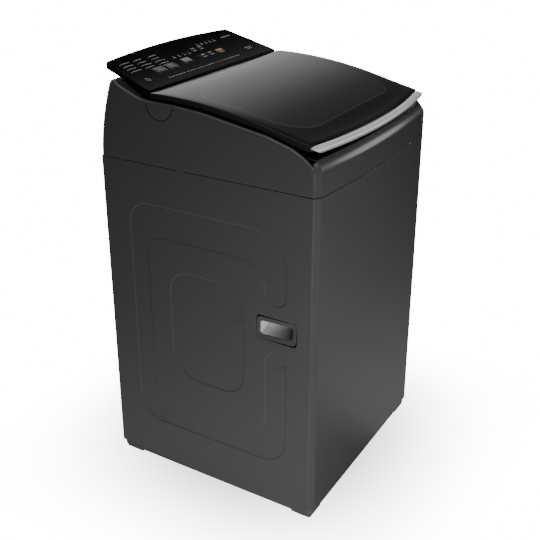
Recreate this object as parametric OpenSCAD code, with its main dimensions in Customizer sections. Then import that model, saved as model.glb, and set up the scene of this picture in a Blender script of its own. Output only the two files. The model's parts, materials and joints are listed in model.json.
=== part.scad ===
// Top load washing machine with a bowed front, a sloped control console,
// a glass lid with a bright front grip, and a hung tub with basket and impeller.
// Units are millimetres. X is the width, -Y is the front, Z is up, the floor is Z = 0.

/* [Cabinet] */
// Overall width across the two sides
cabinet_width = 560; // [480:2:680]
// Depth from the front corner creases to the flat back
cabinet_depth = 552; // [480:2:680]
// How far the front bows forward at the top of the cabinet
front_bow = 16; // [0:1:24]
// Height of the joint between the cabinet and the top cover
seam_height = 794; // [760:1:860]
// Height of the lower edge of the painted sheet
skirt_height = 28; // [24:1:34]
// Width of the flat corner band, along the front
corner_width = 14; // [8:1:20]
// Depth of the flat corner band, along the side
corner_depth = 10; // [6:1:16]
// Thickness of the folded sheet
sheet = 1.2; // [0.8:0.1:1.6]
// Depth of the pressed shapes in the sides
press_depth = 1; // [0.6:0.1:1.4]

/* [Top cover and lid] */
// Wall of the moulded top cover
cover_wall = 3; // [2:0.5:4]
// Height of the front crease of the top cover
crease_height = 850; // [830:1:870]
// Width of the ledge beside the lid
side_ledge = 9; // [6:1:12]
// Lid width
lid_width = 536; // [500:2:536]
// Thickness of the lid panel
glass = 4; // [3:0.5:5]
// Depth of the lid frame below the panel
lid_frame_depth = 11; // [8:1:12]
// Position of the lid hinge behind the centre
hinge_y = 108; // [100:1:112]
// Height of the lid hinge
hinge_z = 938; // [936:1:940]
// Radius of the lid hinge pins
pin_r = 4; // [3:0.5:5]
// Half width of the loading opening
mouth_half = 205; // [180:1:210]

/* [Console] */
// Front edge of the control panel
panel_y = 142; // [141:1:146]
// Height of the front edge of the control panel
panel_z = 953; // [950:1:958]
// Rise of the control panel per unit of depth
panel_rise = 0.3134; // [0.28:0.002:0.34]
// Gap around each key
key_gap = 0.4; // [0.3:0.1:0.8]

/* [Tub and basket] */
// Outside radius of the tub
tub_r = 245; // [235:1:248]
// Outside radius of the basket wall
basket_r = 223; // [210:1:226]
// Outside radius of the hollow spin shaft
spin_r = 16; // [14:0.5:18]
// Radius of the impeller shaft
drive_r = 8; // [7:0.5:9]
// Radial clearance of turning fits
run = 0.06; // [0.02:0.01:0.1]
// Radius of the drive pulley flanges
pulley_r = 60; // [50:1:64]
// Radius of the motor pulley flanges
motor_pulley_r = 23; // [20:1:26]
// Distance from the shaft to the motor
motor_x = 155; // [150:1:165]
// Position of the hanging rods from the centre, both ways
rod_xy = 235; // [230:1:240]

/* [Hidden] */
$fn = 64;
hw = cabinet_width / 2;
hd = cabinet_depth / 2;
gap = 0.3;
tilt = atan(panel_rise);
panel_bottom = panel_z - 8.5;
graphite = [0.20, 0.205, 0.21];
black = [0.05, 0.05, 0.055];
steel = [0.7, 0.71, 0.72];
white = [0.85, 0.86, 0.86];

// ---------- outlines ----------
bow_n = 16;
function bow_y(x, b) = -hd - b * (1 - pow(x / (hw - corner_width), 2));
function front_pts(t, b) = [for (i = [0:bow_n]) let (x = (-1 + 2 * i / bow_n)
    * (hw - corner_width - 0.32 * t))
    [x, bow_y(min(max(x, corner_width - hw), hw - corner_width), b) + t]];
// cabinet plan, inset by t, bowed by b, listed anticlockwise from the back left
function plan(t, b) = concat([[-hw + t, hd - t], [-hw + t, -hd + corner_depth + 0.515 * t]],
    front_pts(t, b), [[hw - t, -hd + corner_depth + 0.515 * t], [hw - t, hd - t]]);

// closed skin through rings of points; the last ring joins the first, so the solid is a frame
module frame_skin(rings) {
    m = len(rings[0]);
    k = len(rings);
    polyhedron(points = [for (r = rings) each r],
        faces = [for (j = [0:k - 1]) for (i = [0:m - 1])
            let (a = j * m, b = ((j + 1) % k) * m, n = (i + 1) % m)
            each [[b + i, b + n, a + n], [b + i, a + n, a + i]]]);
}
function at_z(pts, z) = [for (p = pts) [p[0], p[1], z]];

// rounded rectangle from corner to corner
module rr(x0, x1, y0, y1, r) {
    translate([x0 + r, y0]) square([x1 - x0 - 2 * r, y1 - y0]);
    translate([x0, y0 + r]) square([x1 - x0, y1 - y0 - 2 * r]);
    for (x = [x0 + r, x1 - r], y = [y0 + r, y1 - r]) translate([x, y]) circle(r);
}
// extrude a shape drawn in Y and Z along X, from x0 to x1
module along_x(x0, x1) translate([x0, 0, 0]) rotate([90, 0, 90]) linear_extrude(x1 - x0) children();
// extrude a shape drawn in X and Z along Y, from y0 to y1
module along_y(y0, y1) translate([0, y1, 0]) rotate([90, 0, 0]) linear_extrude(y1 - y0) children();
module rod_x(x0, x1, y, z, r) translate([x0, y, z]) rotate([0, 90, 0]) cylinder(h = x1 - x0, r = r);
module rod_y(x, y0, y1, z, r) translate([x, y0, z]) rotate([-90, 0, 0]) cylinder(h = y1 - y0, r = r);
module tube(r1, r0, z0, z1) translate([0, 0, z0]) difference() {
    cylinder(h = z1 - z0, r = r1);
    translate([0, 0, -1]) cylinder(h = z1 - z0 + 2, r = r0);
}
module both() { children(); mirror([1, 0, 0]) children(); }

// ---------- cabinet ----------
// pressed loop, open beside the hand grip, grown by g
module press_loop(g) {
    difference() {
        rr(-206 - g, 202 + g, 130 - g, 701 + g, 50 + g);
        rr(-154 + g, 156 - g, 205 + g, 625 - g, 46 - g);
        translate([-240, 393]) square([86 + g, 165]);
    }
    for (z = [393, 558]) translate([-180, z]) circle(26 + g);
}
module press_pad(g) rr(-98 - g, 97 + g, 280 - g, 554 + g, 58 + g);
module cabinet_shell() color(graphite) {
    difference() {
        frame_skin([at_z(plan(0, 0), skirt_height), at_z(plan(0, front_bow), seam_height),
            at_z(plan(sheet, front_bow), seam_height), at_z(plan(sheet, 0), skirt_height)]);
        translate([-hw + 18, hd - 10, skirt_height + 12]) cube([2 * hw - 36, 20,
            seam_height - skirt_height - 24]);
        both() along_x(-hw - 1, -hw + sheet + 1) {
            press_loop(0);
            press_pad(0);
            rr(-232.5, -132.5, 446.5, 504.5, 9);
        }
    }
    both() along_x(-hw + press_depth, -hw + press_depth + sheet) {
        press_loop(1);
        press_pad(1);
    }
}
module rear_panel() color(graphite) difference() {
    along_y(hd - 2.6, hd - 1.4) difference() {
        translate([-hw + 4, skirt_height + 2]) square([2 * hw - 8, seam_height - skirt_height - 6]);
        rr(-150, 150, 120, 400, 20);
        translate([200, 90]) circle(18);
        translate([-200, 110]) circle(9);
        for (x = [-160, 160], z = [112, 260, 408]) translate([x, z]) circle(2.2);
    }
}
module rear_access_cover() color(graphite) along_y(hd - 1.3, hd - 0.1) difference() {
    rr(-170, 170, 100, 420, 12);
    for (x = [-160, 160], z = [112, 260, 408]) translate([x, z]) circle(2.2);
    for (i = [0:6]) rr(-60, 60, 180 + 22 * i, 186 + 22 * i, 2.9);
}
module cover_screws() color(steel) for (x = [-160, 160], z = [112, 260, 408]) {
    rod_y(x, hd - 0.1, hd + 2.2, z, 4.5);
    rod_y(x, hd - 10, hd - 0.1, z, 2);
}
module base_frame() color(black) {
    difference() {
        union() {
            translate([0, 0, 12]) linear_extrude(48) polygon(plan(5, 0));
            for (x = [-1, 1], y = [-1, 1]) translate([x > 0 ? 216 : -272, y > 0 ? 216 : -268, 4])
                cube([56, 52, 9]);
        }
        translate([0, 0, 16]) linear_extrude(60) polygon(plan(9, 0));
        translate([0, 0, 3]) cylinder(h = 20, r = 200);
        translate([244, -242, 3]) cylinder(h = 20, r = 4.6);
    }
    translate([232, -254, 15]) difference() {
        cube([24, 24, 10]);
        translate([12, 12, 1.3]) cylinder(h = 20, r = 8.2, $fn = 6);
        translate([12, 12, -1]) cylinder(h = 20, r = 4.6);
    }
}
module foot_pads() color([0.12, 0.12, 0.12]) for (p = [[-244, -242], [-244, 242], [244, 242]])
    translate([p[0] - 24, p[1] - 22, 0]) linear_extrude(4) rr(0, 48, 0, 44, 8);
module levelling_nut() color(steel) translate([244, -242, 16.5]) difference() {
    cylinder(h = 8, r = 7.9, $fn = 6);
    translate([0, 0, -1]) cylinder(h = 20, r = 4 + run);
}
module levelling_foot() color([0.12, 0.12, 0.12]) translate([244, -242, 0]) {
    cylinder(h = 3.6, r = 21);
    cylinder(h = 45, r = 4);
}
// suspension
module corner_brackets() color(steel) for (sx = [-1, 1], sy = [-1, 1]) difference() {
    intersection() {
        translate([sx > 0 ? 205 : -278, sy > 0 ? 205 : -276, 770]) cube([73, 68.2, 5]);
        translate([0, 0, 769]) linear_extrude(8) polygon(plan(1.6, 8));
    }
    translate([sx * rod_xy, sy * rod_xy, 769]) cylinder(h = 8, r = 6);
}
module suspension_rods() color(steel) for (sx = [-1, 1], sy = [-1, 1]) translate([sx * rod_xy,
    sy * rod_xy, 0]) {
    translate([0, 0, 124]) cylinder(h = 655, r = 4);
    translate([0, 0, 122]) cylinder(h = 8, r = 23);
    translate([0, 0, 775]) cylinder(h = 10, r1 = 14, r2 = 9);
}
coil_n = 14;
module coil(r, wire, z0, z1, turns) {
    s = coil_n * turns;
    m = 6;
    polyhedron(points = [for (i = [0:s]) let (a = 360 * i / coil_n,
        z = z0 + wire + (z1 - z0 - 2 * wire) * i / s)
            for (j = [0:m - 1]) let (b = 360 * j / m, q = r + wire * cos(b)) [q * cos(a), q * sin(a),
                z + wire * sin(b)]],
        faces = concat([[for (j = [0:m - 1]) j]], [[for (j = [m - 1:-1:0]) s * m + j]],
            [for (i = [0:s - 1], j = [0:m - 1]) let (a = i * m + j, b = i * m + (j + 1) % m)
                each [[a, a + m, b + m], [a, b + m, b]]]));
}
module suspension_springs() color(steel) for (sx = [-1, 1], sy = [-1, 1])
    translate([sx * rod_xy, sy * rod_xy, 0]) coil(15, 2, 130, 240, 6);
module drain_outlet() color(black) difference() {
    union() {
        rod_y(200, 236, 290, 90, 14);
        rod_y(200, hd - 5, hd - 2.6, 90, 24);
        rod_y(200, hd - 1.4, hd + 1, 90, 17.8);
        rod_y(200, hd - 2.6, hd - 1.4, 90, 17.8);
    }
    rod_y(200, 235, 291, 90, 11);
}
module cord_gland() color(black) difference() {
    union() {
        rod_y(-200, hd - 8, hd + 8, 110, 8.8);
        rod_y(-200, hd - 5, hd - 2.6, 110, 14);
        rod_y(-200, hd - 1.4, hd + 2, 110, 13);
    }
    rod_y(-200, hd - 10, hd + 10, 110, 4);
}
module capacitor() color([0.75, 0.75, 0.7]) translate([140, 238, 16]) {
    cylinder(h = 74, r = 17);
    for (x = [-6, 6]) translate([x - 1.5, -3, 73]) cube([3, 6, 11]);
}

// ---------- top cover ----------
edge_profile = [[-300, crease_height], [-276, crease_height], [-262, crease_height + 2], [-250, 866],
    [-235, 877],
    [-212, 887], [-157, 903], [-102, 912], [2, 929], [70, 934], [139, 935.5], [160, 939], [236, 970],
        [260, 968]];
function edge_z(y) = lookup(y, edge_profile);
side_y = [222, 190, 160, 139, 105, 70, 36, 2, -50, -102, -130, -157, -185, -212, -235, -250, -260];
// each station: [bottom x, bottom y, lean towards the centre in y at the top, top z,
// ledge inner x, ledge inner y]
function ledge(y) = y > 139 ? side_ledge + 27 * (y - 139) / 97 : side_ledge;
function st_side(s, y) = [s * hw, y, 0, edge_z(y), s * (hw - ledge(y)), y];
function st_back(x) = [x, hd, 36, 969, x * (hw - 36) / hw, hd - 45];
function st_front(x) = [x, bow_y(x, front_bow), 0, crease_height, x * (hw - 16)
    / (hw - corner_width), bow_y(x, front_bow) + 14];
stations = concat([for (x = [-150, -215]) st_back(x)],
    [[-hw, hd, 36, 969, -hw + 36, hd - 45]], [for (y = side_y) st_side(-1, y)],
    [[-hw, -hd + corner_depth, 0, crease_height + 1, -hw + 12, -hd + corner_depth + 6]],
    [for (i = [0:bow_n]) st_front((-1 + 2 * i / bow_n) * (hw - corner_width))],
    [[hw, -hd + corner_depth, 0, crease_height + 1, hw - 12, -hd + corner_depth + 6]],
    [for (i = [len(side_y) - 1:-1:0]) st_side(1, side_y[i])], [[hw, hd, 36, 969, hw - 36, hd - 45]],
    [for (x = [215, 150, 75, 0, -75]) st_back(x)]);
cz = seam_height + 0.4;
// lean grows faster near the top, which rounds the back
function wall(f) = [for (s = stations) [s[0], s[1] - s[2] * pow(f, 1.7), cz + (s[3] - cz) * f]];
function front_in(s) = s[1] < -hd + corner_depth + 1 ? cover_wall : 0;
function wall_in(f, d) = [for (s = stations) [
    (abs(s[0]) > hw - 1 ? sign(s[0]) * (abs(s[0]) - cover_wall) : s[0] * (hw - cover_wall) / hw),
    (s[1] > hd - 1 ? s[1] - cover_wall : s[1] + front_in(s)) - s[2] * pow(f, 1.7), cz + (s[3] - cz)
        * f - d]];
function ledge_pts(d) = [for (s = stations) [s[4], s[5],
    s[3] + (s[1] < -hd + corner_depth + 1 ? 17 : 1) - d]];
module top_cover() color(graphite) difference() {
    frame_skin([wall(0), wall(0.4), wall(0.7), wall(0.88), wall(1), ledge_pts(0), ledge_pts(cover_wall),
        wall_in(1, cover_wall + 0.5), wall_in(0.7, 1), wall_in(0.4, 1), wall_in(0, 0)]);
    both() rod_x(-hw - 1, -hw + 2, hinge_y - 3, 932.5, 34);
    rod_y(-180, 200, 300, 905, 15.5);
}
module hinge_cap() intersection() {
    rod_x(-hw, -hw + 1.9, hinge_y - 3, 932.5, 33.6);
    along_x(-hw - 1, -hw + 3) translate([60, 880]) square([90, 53]);
}
module hinge_cap_left() color(graphite) hinge_cap();
module hinge_cap_right() color(graphite) mirror([1, 0, 0]) hinge_cap();
deck_top = [[-282, 866], [-262, 867.5], [-240, 872], [-212, 882], [-157, 899], [-102, 909.5], [2,
    925.5], [66, 930.5],
    [76, 930.5], [76, 902], [141.3, 902]];
deck_low = [[141.3, 899], [73, 899], [73, 927.5], [66, 927.5], [2, 922.5], [-102, 906.5], [-157,
    896], [-212, 879],
    [-240, 869], [-262, 864.5], [-282, 863]];
module mouth(g, r) rr(-mouth_half - g, mouth_half + g, -232 - g, 62 + g, r + g);
module deck() color(black) {
    difference() {
        intersection() {
            along_x(-hw, hw) polygon(concat(deck_top, deck_low));
            translate([0, 0, 850]) linear_extrude(100) {
                difference() {
                    polygon(plan(14.6, front_bow));
                    translate([0, -400]) square([2, 1]);
                }
                translate([-hw + side_ledge + 0.6, -235]) square([2 * (hw - side_ledge - 0.6), 378]);
            }
        }
        translate([0, 0, 840]) linear_extrude(120) mouth(0, 100);
        for (s = [-1, 1]) translate([s * 120, -244, 850]) cylinder(h = 40, r = 4.2);
        for (s = [-1, 1]) translate([s * 120, -244, 871.9]) cylinder(h = 20, r = 8);
    }
    // collar down into the tub opening
    difference() {
        intersection() {
            translate([0, 0, 778]) linear_extrude(200) difference() {
                mouth(2.6, 100);
                mouth(0, 100);
            }
            along_x(-hw, hw) polygon([[-300, 770], [70, 770], [70, 928], [2, 924], [-102, 908], [-157, 898],
                [-212, 881], [-240, 871], [-300, 860]]);
        }
        along_y(50, 70) rr(-73, 73, 837, 895.5, 6);
    }
}
module hinge_brackets() color(black) both() difference() {
    union() {
        translate([-256.5, 98, 902]) cube([13, 14.5, 36]);
        rod_x(-256.5, -243.5, hinge_y, hinge_z, 7);
        translate([-256.5, 90, 902]) cube([13, 30, 3]);
    }
    rod_x(-258, -242, hinge_y, hinge_z, pin_r + run);
}
module lid_damper() color([0.3, 0.3, 0.32]) {
    rod_x(-242.4, -226, hinge_y, hinge_z, 6.6);
    translate([-240, 103, 902]) cube([12, 8, 31]);
}
module lid_bumpers() color([0.12, 0.12, 0.12]) for (s = [-1, 1]) translate([s * 120, -244, 0]) {
    translate([0, 0, 862]) cylinder(h = 12, r = 4.2);
    translate([0, 0, 871.9]) cylinder(h = 8.6, r = 8);
}
module lid_switch() color([0.8, 0.8, 0.78]) {
    translate([226, 28, 898]) cube([30, 30, 20]);
    translate([236, 38, 917]) cube([8, 8, 6]);
}

// ---------- console ----------
back_y = 279;
function top_z(y) = let (t = (y - panel_y) / 137) panel_z + 0.321 * (y - panel_y) - 16 * t * (1 - t);
function low_z(y) = panel_bottom + panel_rise * (y - panel_y);
// stands on the underside plane of the panel, at a place given by x and y
module on_panel(x, y) translate([x, y, low_z(y)]) rotate([tilt, 0, 0]) children();
function skin_at(y) = (top_z(y) - low_z(y)) * cos(tilt);
panel_plan = concat([[-264, panel_y], [264, panel_y]],
    [for (i = [0:12]) let (x = 240 - 40 * i) [x, back_y + 12 * (1 - pow(x / 240, 2))]]);
keys = [[-140, 208, 36, 21], [-96, 209, 34, 21], [35, 243, 17, 9.5], [65, 243, 17, 9.5],
    [35, 212, 19, 10], [66, 213, 19, 10], [106, 212, 26, 12]];
module key_shape(k, g) rr(-k[2] / 2 - g, k[2] / 2 + g, -k[3] / 2 - g, k[3] / 2 + g, 2 + g);
lamps = concat([for (x = [-219, -170, -119], j = [0:3]) [x, 224 + 11 * j]], [for (i = [0:4])
    [69 + 18 * i, 255]],
    [for (i = [0:3]) [-52 + 20 * i, 237]]);
module console_panel() color(black) difference() {
    intersection() {
        along_x(-270, 270) polygon(concat([for (i = [0:15]) let (y = panel_y + 10 * i) [y, top_z(y)]],
            [[panel_y + 150, low_z(panel_y + 150)], [panel_y, panel_bottom]]));
        translate([0, 0, 930]) linear_extrude(100) polygon(panel_plan);
    }
    for (k = keys) on_panel(k[0], k[1]) translate([0, 0, -5]) linear_extrude(30) key_shape(k, key_gap);
    on_panel(-31, 213.5) translate([-15.2, -9.2, -5]) cube([30.4, 18.4, 30]);
    for (p = lamps) on_panel(p[0], p[1]) translate([0, 0, -5]) cylinder(h = 30, r = 1.6, $fn = 16);
}
module display_window() color([0.25, 0.26, 0.27]) on_panel(-31, 213.5)
    translate([-15, -9, 0.6]) cube([30, 18, skin_at(213.5) - 0.5]);
module indicator_lights() color([0.9, 0.9, 0.9]) for (p = lamps) on_panel(p[0], p[1])
    translate([0, 0, 0.6]) cylinder(h = skin_at(p[1]) - 0.6, r = 1.5, $fn = 16);
module key(i) color(i == 6 ? [0.75, 0.35, 0.12] : [0.16, 0.16, 0.17]) on_panel(keys[i][0], keys[i][1])
    translate([0, 0, 1.4]) linear_extrude(skin_at(keys[i][1]) - 0.9) key_shape(keys[i], 0);
module key_level() key(0);
module key_programme() key(1);
module key_rinse() key(2);
module key_soak() key(3);
module key_spin() key(4);
module key_power() key(5);
module key_start() key(6);
module console_body() color(black) difference() {
    intersection() {
        along_x(-270, 270) polygon([[panel_y, 900], [panel_y, low_z(panel_y)], [275.5, low_z(275.5)],
            [247, 973.4],
            [229.5, 970.9], [229.5, 900]]);
        translate([0, 0, 890]) linear_extrude(120)
            polygon([[-262, panel_y - 1], [262, panel_y - 1], [228, 277], [-228, 277]]);
    }
    intersection() {
        along_x(-268, 268) polygon([[145, 890], [145, 998], [262, 998], [262, 984], [242, 976],
            [226.5, 976],
            [226.5, 890]]);
        translate([0, 0, 885]) linear_extrude(130) polygon([[-259, 140], [259, 140], [225, 278],
            [-225, 278]]);
    }
    // way through the rear wall for the water inlet
    rod_y(-180, 222, 234, 905, 11.3);
}
module control_board() color([0.1, 0.35, 0.2]) {
    on_panel(0, 160) translate([-215, 0, -9]) cube([400, 60, 1.6]);
    on_panel(0, 160) for (x = [-200, -60, 60, 170]) translate([x, 44, -8]) cube([6, 6, 8]);
    on_panel(60, 170) translate([0, 0, -22]) cube([60, 36, 13.5]);
    on_panel(-120, 170) translate([0, 0, -18]) cube([34, 34, 9.5]);
}
module pressure_sensor() color([0.85, 0.85, 0.82]) translate([170, 185, 0]) {
    translate([0, 0, 912]) cylinder(h = 16, r = 22);
    translate([0, 0, 898]) cylinder(h = 15, r = 4);
}
module inlet_valve() color([0.85, 0.86, 0.86]) {
    translate([-205, 175, 882]) cube([50, 46, 46]);
    rod_y(-180, 220, 262, 905, 11);
    difference() {
        rod_y(-180, 262, 284, 905, 13.2);
        rod_y(-180, 268, 285, 905, 9);
    }
    rod_x(-156, -79, 198, 888, 8);
    translate([-192, 160, 890]) cube([24, 16, 30]);
}
module dispenser_box() color(white) difference() {
    translate([-79, 66, 835]) cube([158, 150, 62.6]);
    translate([-75.5, 65, 838.5]) cube([151, 146, 55.5]);
    translate([-60, 80, 830]) cube([120, 20, 20]);
    rod_x(-82, -70, 198, 888, 6);
}
module detergent_drawer() color(white) {
    difference() {
        translate([-72, 64, 840]) cube([144, 140, 50]);
        translate([-69, 67, 843]) cube([66, 134, 60]);
        translate([0, 67, 843]) cube([69, 134, 60]);
    }
    translate([-71.5, 60.4, 839]) cube([143, 4, 54]);
    translate([-25, 50, 868]) cube([50, 11, 4]);
}

// ---------- hand grips ----------
module side_handle() {
    difference() {
        union() {
            along_x(-hw, -hw + 2) rr(-232.2, -132.8, 446.8, 504.2, 8.7);
            along_x(-hw + 1.3, -hw + 3.4) rr(-237, -128, 442, 509, 12);
            along_x(-hw + 2, -hw + 40) rr(-224.5, -137.5, 455.5, 494, 9);
        }
        along_x(-hw - 1, -hw + 37.5) rr(-222, -140, 458, 491.5, 6.5);
    }
    // curved scoop behind the mouth
    intersection() {
        along_x(-hw + 14, -hw + 39) translate([-181, 474]) square([84, 36], center = true);
        difference() {
            along_x(-hw + 14, -hw + 39) translate([-223, 457]) square([84, 20]);
            rod_y(-hw + 14, -230, -130, 480, 22);
        }
    }
}
module side_handle_left() color([0.3, 0.3, 0.31]) side_handle();
module side_handle_right() color([0.3, 0.3, 0.31]) mirror([1, 0, 0]) side_handle();

// ---------- lid ----------
lid_curve = [[-292, 890.5], [-275, 892.5], [-252, 895.5], [-230, 900], [-201, 906.5], [-165, 915.5],
    [-130, 924],
    [-94, 931.5], [-57, 938], [-19, 943.2], [19, 947.2], [55, 949.8], [91, 951.2], [137, 950.6]];
module lid_band(z1, z0) along_x(-hw, hw) polygon(concat([for (p = lid_curve) [p[0], p[1] - z1]],
    [for (i = [len(lid_curve) - 1:-1:0]) [lid_curve[i][0], lid_curve[i][1] - z0]]));
lw = lid_width / 2;
function strip_in(x) = -250 - 25 * (1 - pow(x / lw, 2));
function strip_out(x) = -268 - 24 * (1 - pow(x / lw, 2));
function lid_plan(t) = concat([[lw - t, 137 - t], [-lw + t, 137 - t]],
    [for (i = [0:16]) let (x = (-1 + i / 8) * (lw - t)) [x, strip_in(x) + t]]);
module lid_glass() color([0.1, 0.1, 0.11, 0.6]) intersection() {
    lid_band(0, glass);
    translate([0, 0, 850]) linear_extrude(150) polygon(lid_plan(0));
}
module lid_frame() color(black) {
    difference() {
        intersection() {
            lid_band(glass, glass + lid_frame_depth);
            translate([0, 0, 850]) linear_extrude(150) difference() {
                polygon(lid_plan(0));
                polygon([[-lw + 52, -200], [-lw + 70, -222], [lw - 70, -222], [lw - 52, -200],
                    [lw - 40, 60],
                    [lw - 56, 78], [-lw + 56, 78], [-lw + 40, 60]]);
            }
        }
        // clearance for the hinge brackets and the damper
        both() translate([-257.5, 84, 900]) cube([35, 60, 60]);
        both() rod_x(-264, -250, hinge_y, hinge_z, pin_r);
    }
    both() difference() {
        rod_x(-267.5, -257.5, hinge_y, hinge_z, 8);
        translate([-270, 90, hinge_z + 4]) cube([20, 40, 10]);
        rod_x(-264, -250, hinge_y, hinge_z, pin_r);
    }
}
module lid_hinge_pins() color(steel) both() rod_x(-264, -244, hinge_y, hinge_z, pin_r);
module lid_handle_strip() color([0.8, 0.8, 0.8]) intersection() {
    lid_band(0, 13);
    translate([0, 0, 850]) linear_extrude(150) polygon(concat(
        [for (i = [0:16]) let (x = (-1 + i / 8) * lw) [x, strip_out(x)]],
        [for (i = [16:-1:0]) let (x = (-1 + i / 8) * lw) [x, strip_in(x)]]));
}

// ---------- tub ----------
module outer_tub() color(white) {
    difference() {
        union() {
            tube(tub_r, tub_r - 3, 205, 735);
            tube(tub_r, 32, 205, 210);
            tube(48, 32, 190.2, 214);
            tube(tub_r + 5, tub_r - 1, 727, 735);
            for (a = [30:60:330]) rotate([0, 0, a]) translate([48, -2, 196]) cube([150, 4, 10]);
        }
        translate([-130, 100, 200]) cylinder(h = 20, r = 16);
        translate([-130, 100, 190]) cylinder(h = 15, r = 24.2);
    }
    for (a = [45:90:315]) rotate([0, 0, a]) difference() {
        translate([tub_r - 2, -24, 240]) cube([rod_xy * sqrt(2) - tub_r + 24, 48, 16]);
        translate([rod_xy * sqrt(2), 0, 230]) cylinder(h = 40, r = 9);
        translate([0, 0, 230]) cylinder(h = 40, r = tub_r - 1.5);
    }
}
module tub_ring() color(white) rotate_extrude() polygon([[204, 748], [204, 742], [238, 735.1],
    [tub_r + 5, 735.1],
    [tub_r + 5, 740], [240, 740], [212, 748]]);
module shaft_bearings() color(steel) for (z = [150, 193]) tube(31.9, spin_r + run, z, z + 12);
module gear_case() color([0.55, 0.56, 0.57]) difference() {
    union() {
        translate([0, 0, 118]) cylinder(h = 70, r = 70);
        translate([0, 0, 184]) cylinder(h = 6, r = 92);
    }
    tube(60, 38, 164, 184);
    translate([0, 0, 150]) cylinder(h = 12.5, r = 31.95);
    translate([0, 0, 117]) cylinder(h = 80, r = 20);
}
module motor_bracket() color(steel) difference() {
    translate([94, -56, 186]) cube([124, 112, 4]);
    translate([motor_x, 0, 180]) cylinder(h = 20, r = 20);
    for (x = [-34, 34], y = [-40, 40]) translate([motor_x + x, y, 180]) cylinder(h = 20, r = 4);
    cylinder(h = 300, r = 92.6);
}
module motor_body() color([0.6, 0.6, 0.62]) translate([motor_x, 0, 0]) difference() {
    union() {
        translate([0, 0, 108]) cylinder(h = 78, r = 54);
        translate([0, 0, 102]) cylinder(h = 7, r = 20);
        for (x = [-34, 34], y = [-40, 40]) translate([x, y, 190]) cylinder(h = 15, r = 7);
        for (x = [-34, 34], y = [-40, 40]) translate([x, y, 183]) cylinder(h = 8, r = 4);
    }
    translate([0, 0, 90]) cylinder(h = 70, r = 6 + run);
}
module drive_belt() color([0.1, 0.1, 0.1]) translate([0, 0, 87.5]) linear_extrude(9) difference() {
    hull() { circle(pulley_r - 2.5, $fn = 72); translate([motor_x, 0]) circle(motor_pulley_r - 2.5,
        $fn = 48); }
    hull() { circle(pulley_r - 7, $fn = 72); translate([motor_x, 0]) circle(motor_pulley_r - 7, $fn = 48); }
}
module drain_valve() color([0.8, 0.8, 0.8]) difference() {
    union() {
        translate([-130, 100, 150]) cylinder(h = 54.8, r = 24);
        rod_y(-130, 100, 186, 168, 13);
        rod_y(-130, 30, 100, 168, 17);
    }
    translate([-130, 100, 158]) cylinder(h = 50, r = 16);
    rod_y(-130, 110, 190, 168, 10);
}

// ---------- basket ----------
module wash_basket() color(steel) {
    difference() {
        union() {
            tube(basket_r, basket_r - 1.5, 236, 690);
            tube(basket_r, 30, 235, 238);
        }
        for (i = [0:5], j = [0:4]) rotate([0, 0, 30 * i + (j % 2) * 15])
            rod_x(-basket_r - 5, basket_r + 5, 0, 470 + 42 * j, 4, $fn = 12);
    }
}
module balance_ring() color([0.75, 0.77, 0.8]) rotate_extrude() polygon([[203, 690.1], [226, 690.1],
    [228, 700],
    [228, 726], [222, 730], [206, 730], [201, 724], [201, 696]]);
module basket_hub() color([0.6, 0.6, 0.62]) difference() {
    union() {
        translate([0, 0, 216]) cylinder(h = 18.9, r = 44);
        translate([0, 0, 227]) cylinder(h = 7.9, r = 100);
        for (a = [0:120:240]) rotate([0, 0, a]) translate([0, -12, 228]) cube([212, 24, 6.9]);
    }
    translate([0, 0, 200]) cylinder(h = 60, r = spin_r);
}
module spin_shaft() color(steel) difference() {
    translate([0, 0, 108]) cylinder(h = 131, r = spin_r);
    translate([0, 0, 100]) cylinder(h = 150, r = drive_r + run);
}
module lint_filters() color([0.82, 0.84, 0.86]) for (a = [0, 180]) rotate([0, 0, a]) difference() {
    translate([198, -34, 330]) cube([20.4, 68, 96]);
    for (z = [342:14:398]) translate([197, -27, z]) cube([3, 54, 8]);
}
module impeller() color([0.80, 0.82, 0.84]) difference() {
    union() {
        rotate_extrude() polygon([[0, 241], [168, 241], [172, 244], [168, 249], [110, 247], [60,
            252], [34, 262],
            [0, 266]]);
        for (a = [0:60:300]) rotate([0, 0, a]) along_y(-6, 6) polygon([[20, 246], [166, 246], [160,
            258], [90, 262],
            [30, 268]]);
    }
    translate([0, 0, 230]) cylinder(h = 28, r = drive_r);
}
module drive_shaft() color(steel) {
    translate([0, 0, 78]) cylinder(h = 180, r = drive_r);
    // pulley with its groove
    rotate_extrude() polygon([[drive_r - 1, 84], [pulley_r, 84], [pulley_r, 86.2], [pulley_r - 7.6, 87],
        [pulley_r - 7.6, 97], [pulley_r, 97.8], [pulley_r, 100], [drive_r - 1, 100]]);
}
module motor_pulley() color(steel) translate([motor_x, 0, 0]) {
    rotate_extrude() polygon([[0, 84], [motor_pulley_r, 84], [motor_pulley_r, 86.2],
        [motor_pulley_r - 7.6, 87],
        [motor_pulley_r - 7.6, 97], [motor_pulley_r, 97.8], [motor_pulley_r, 100], [0, 100]]);
    translate([0, 0, 99]) cylinder(h = 58, r = 6);
}

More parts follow.
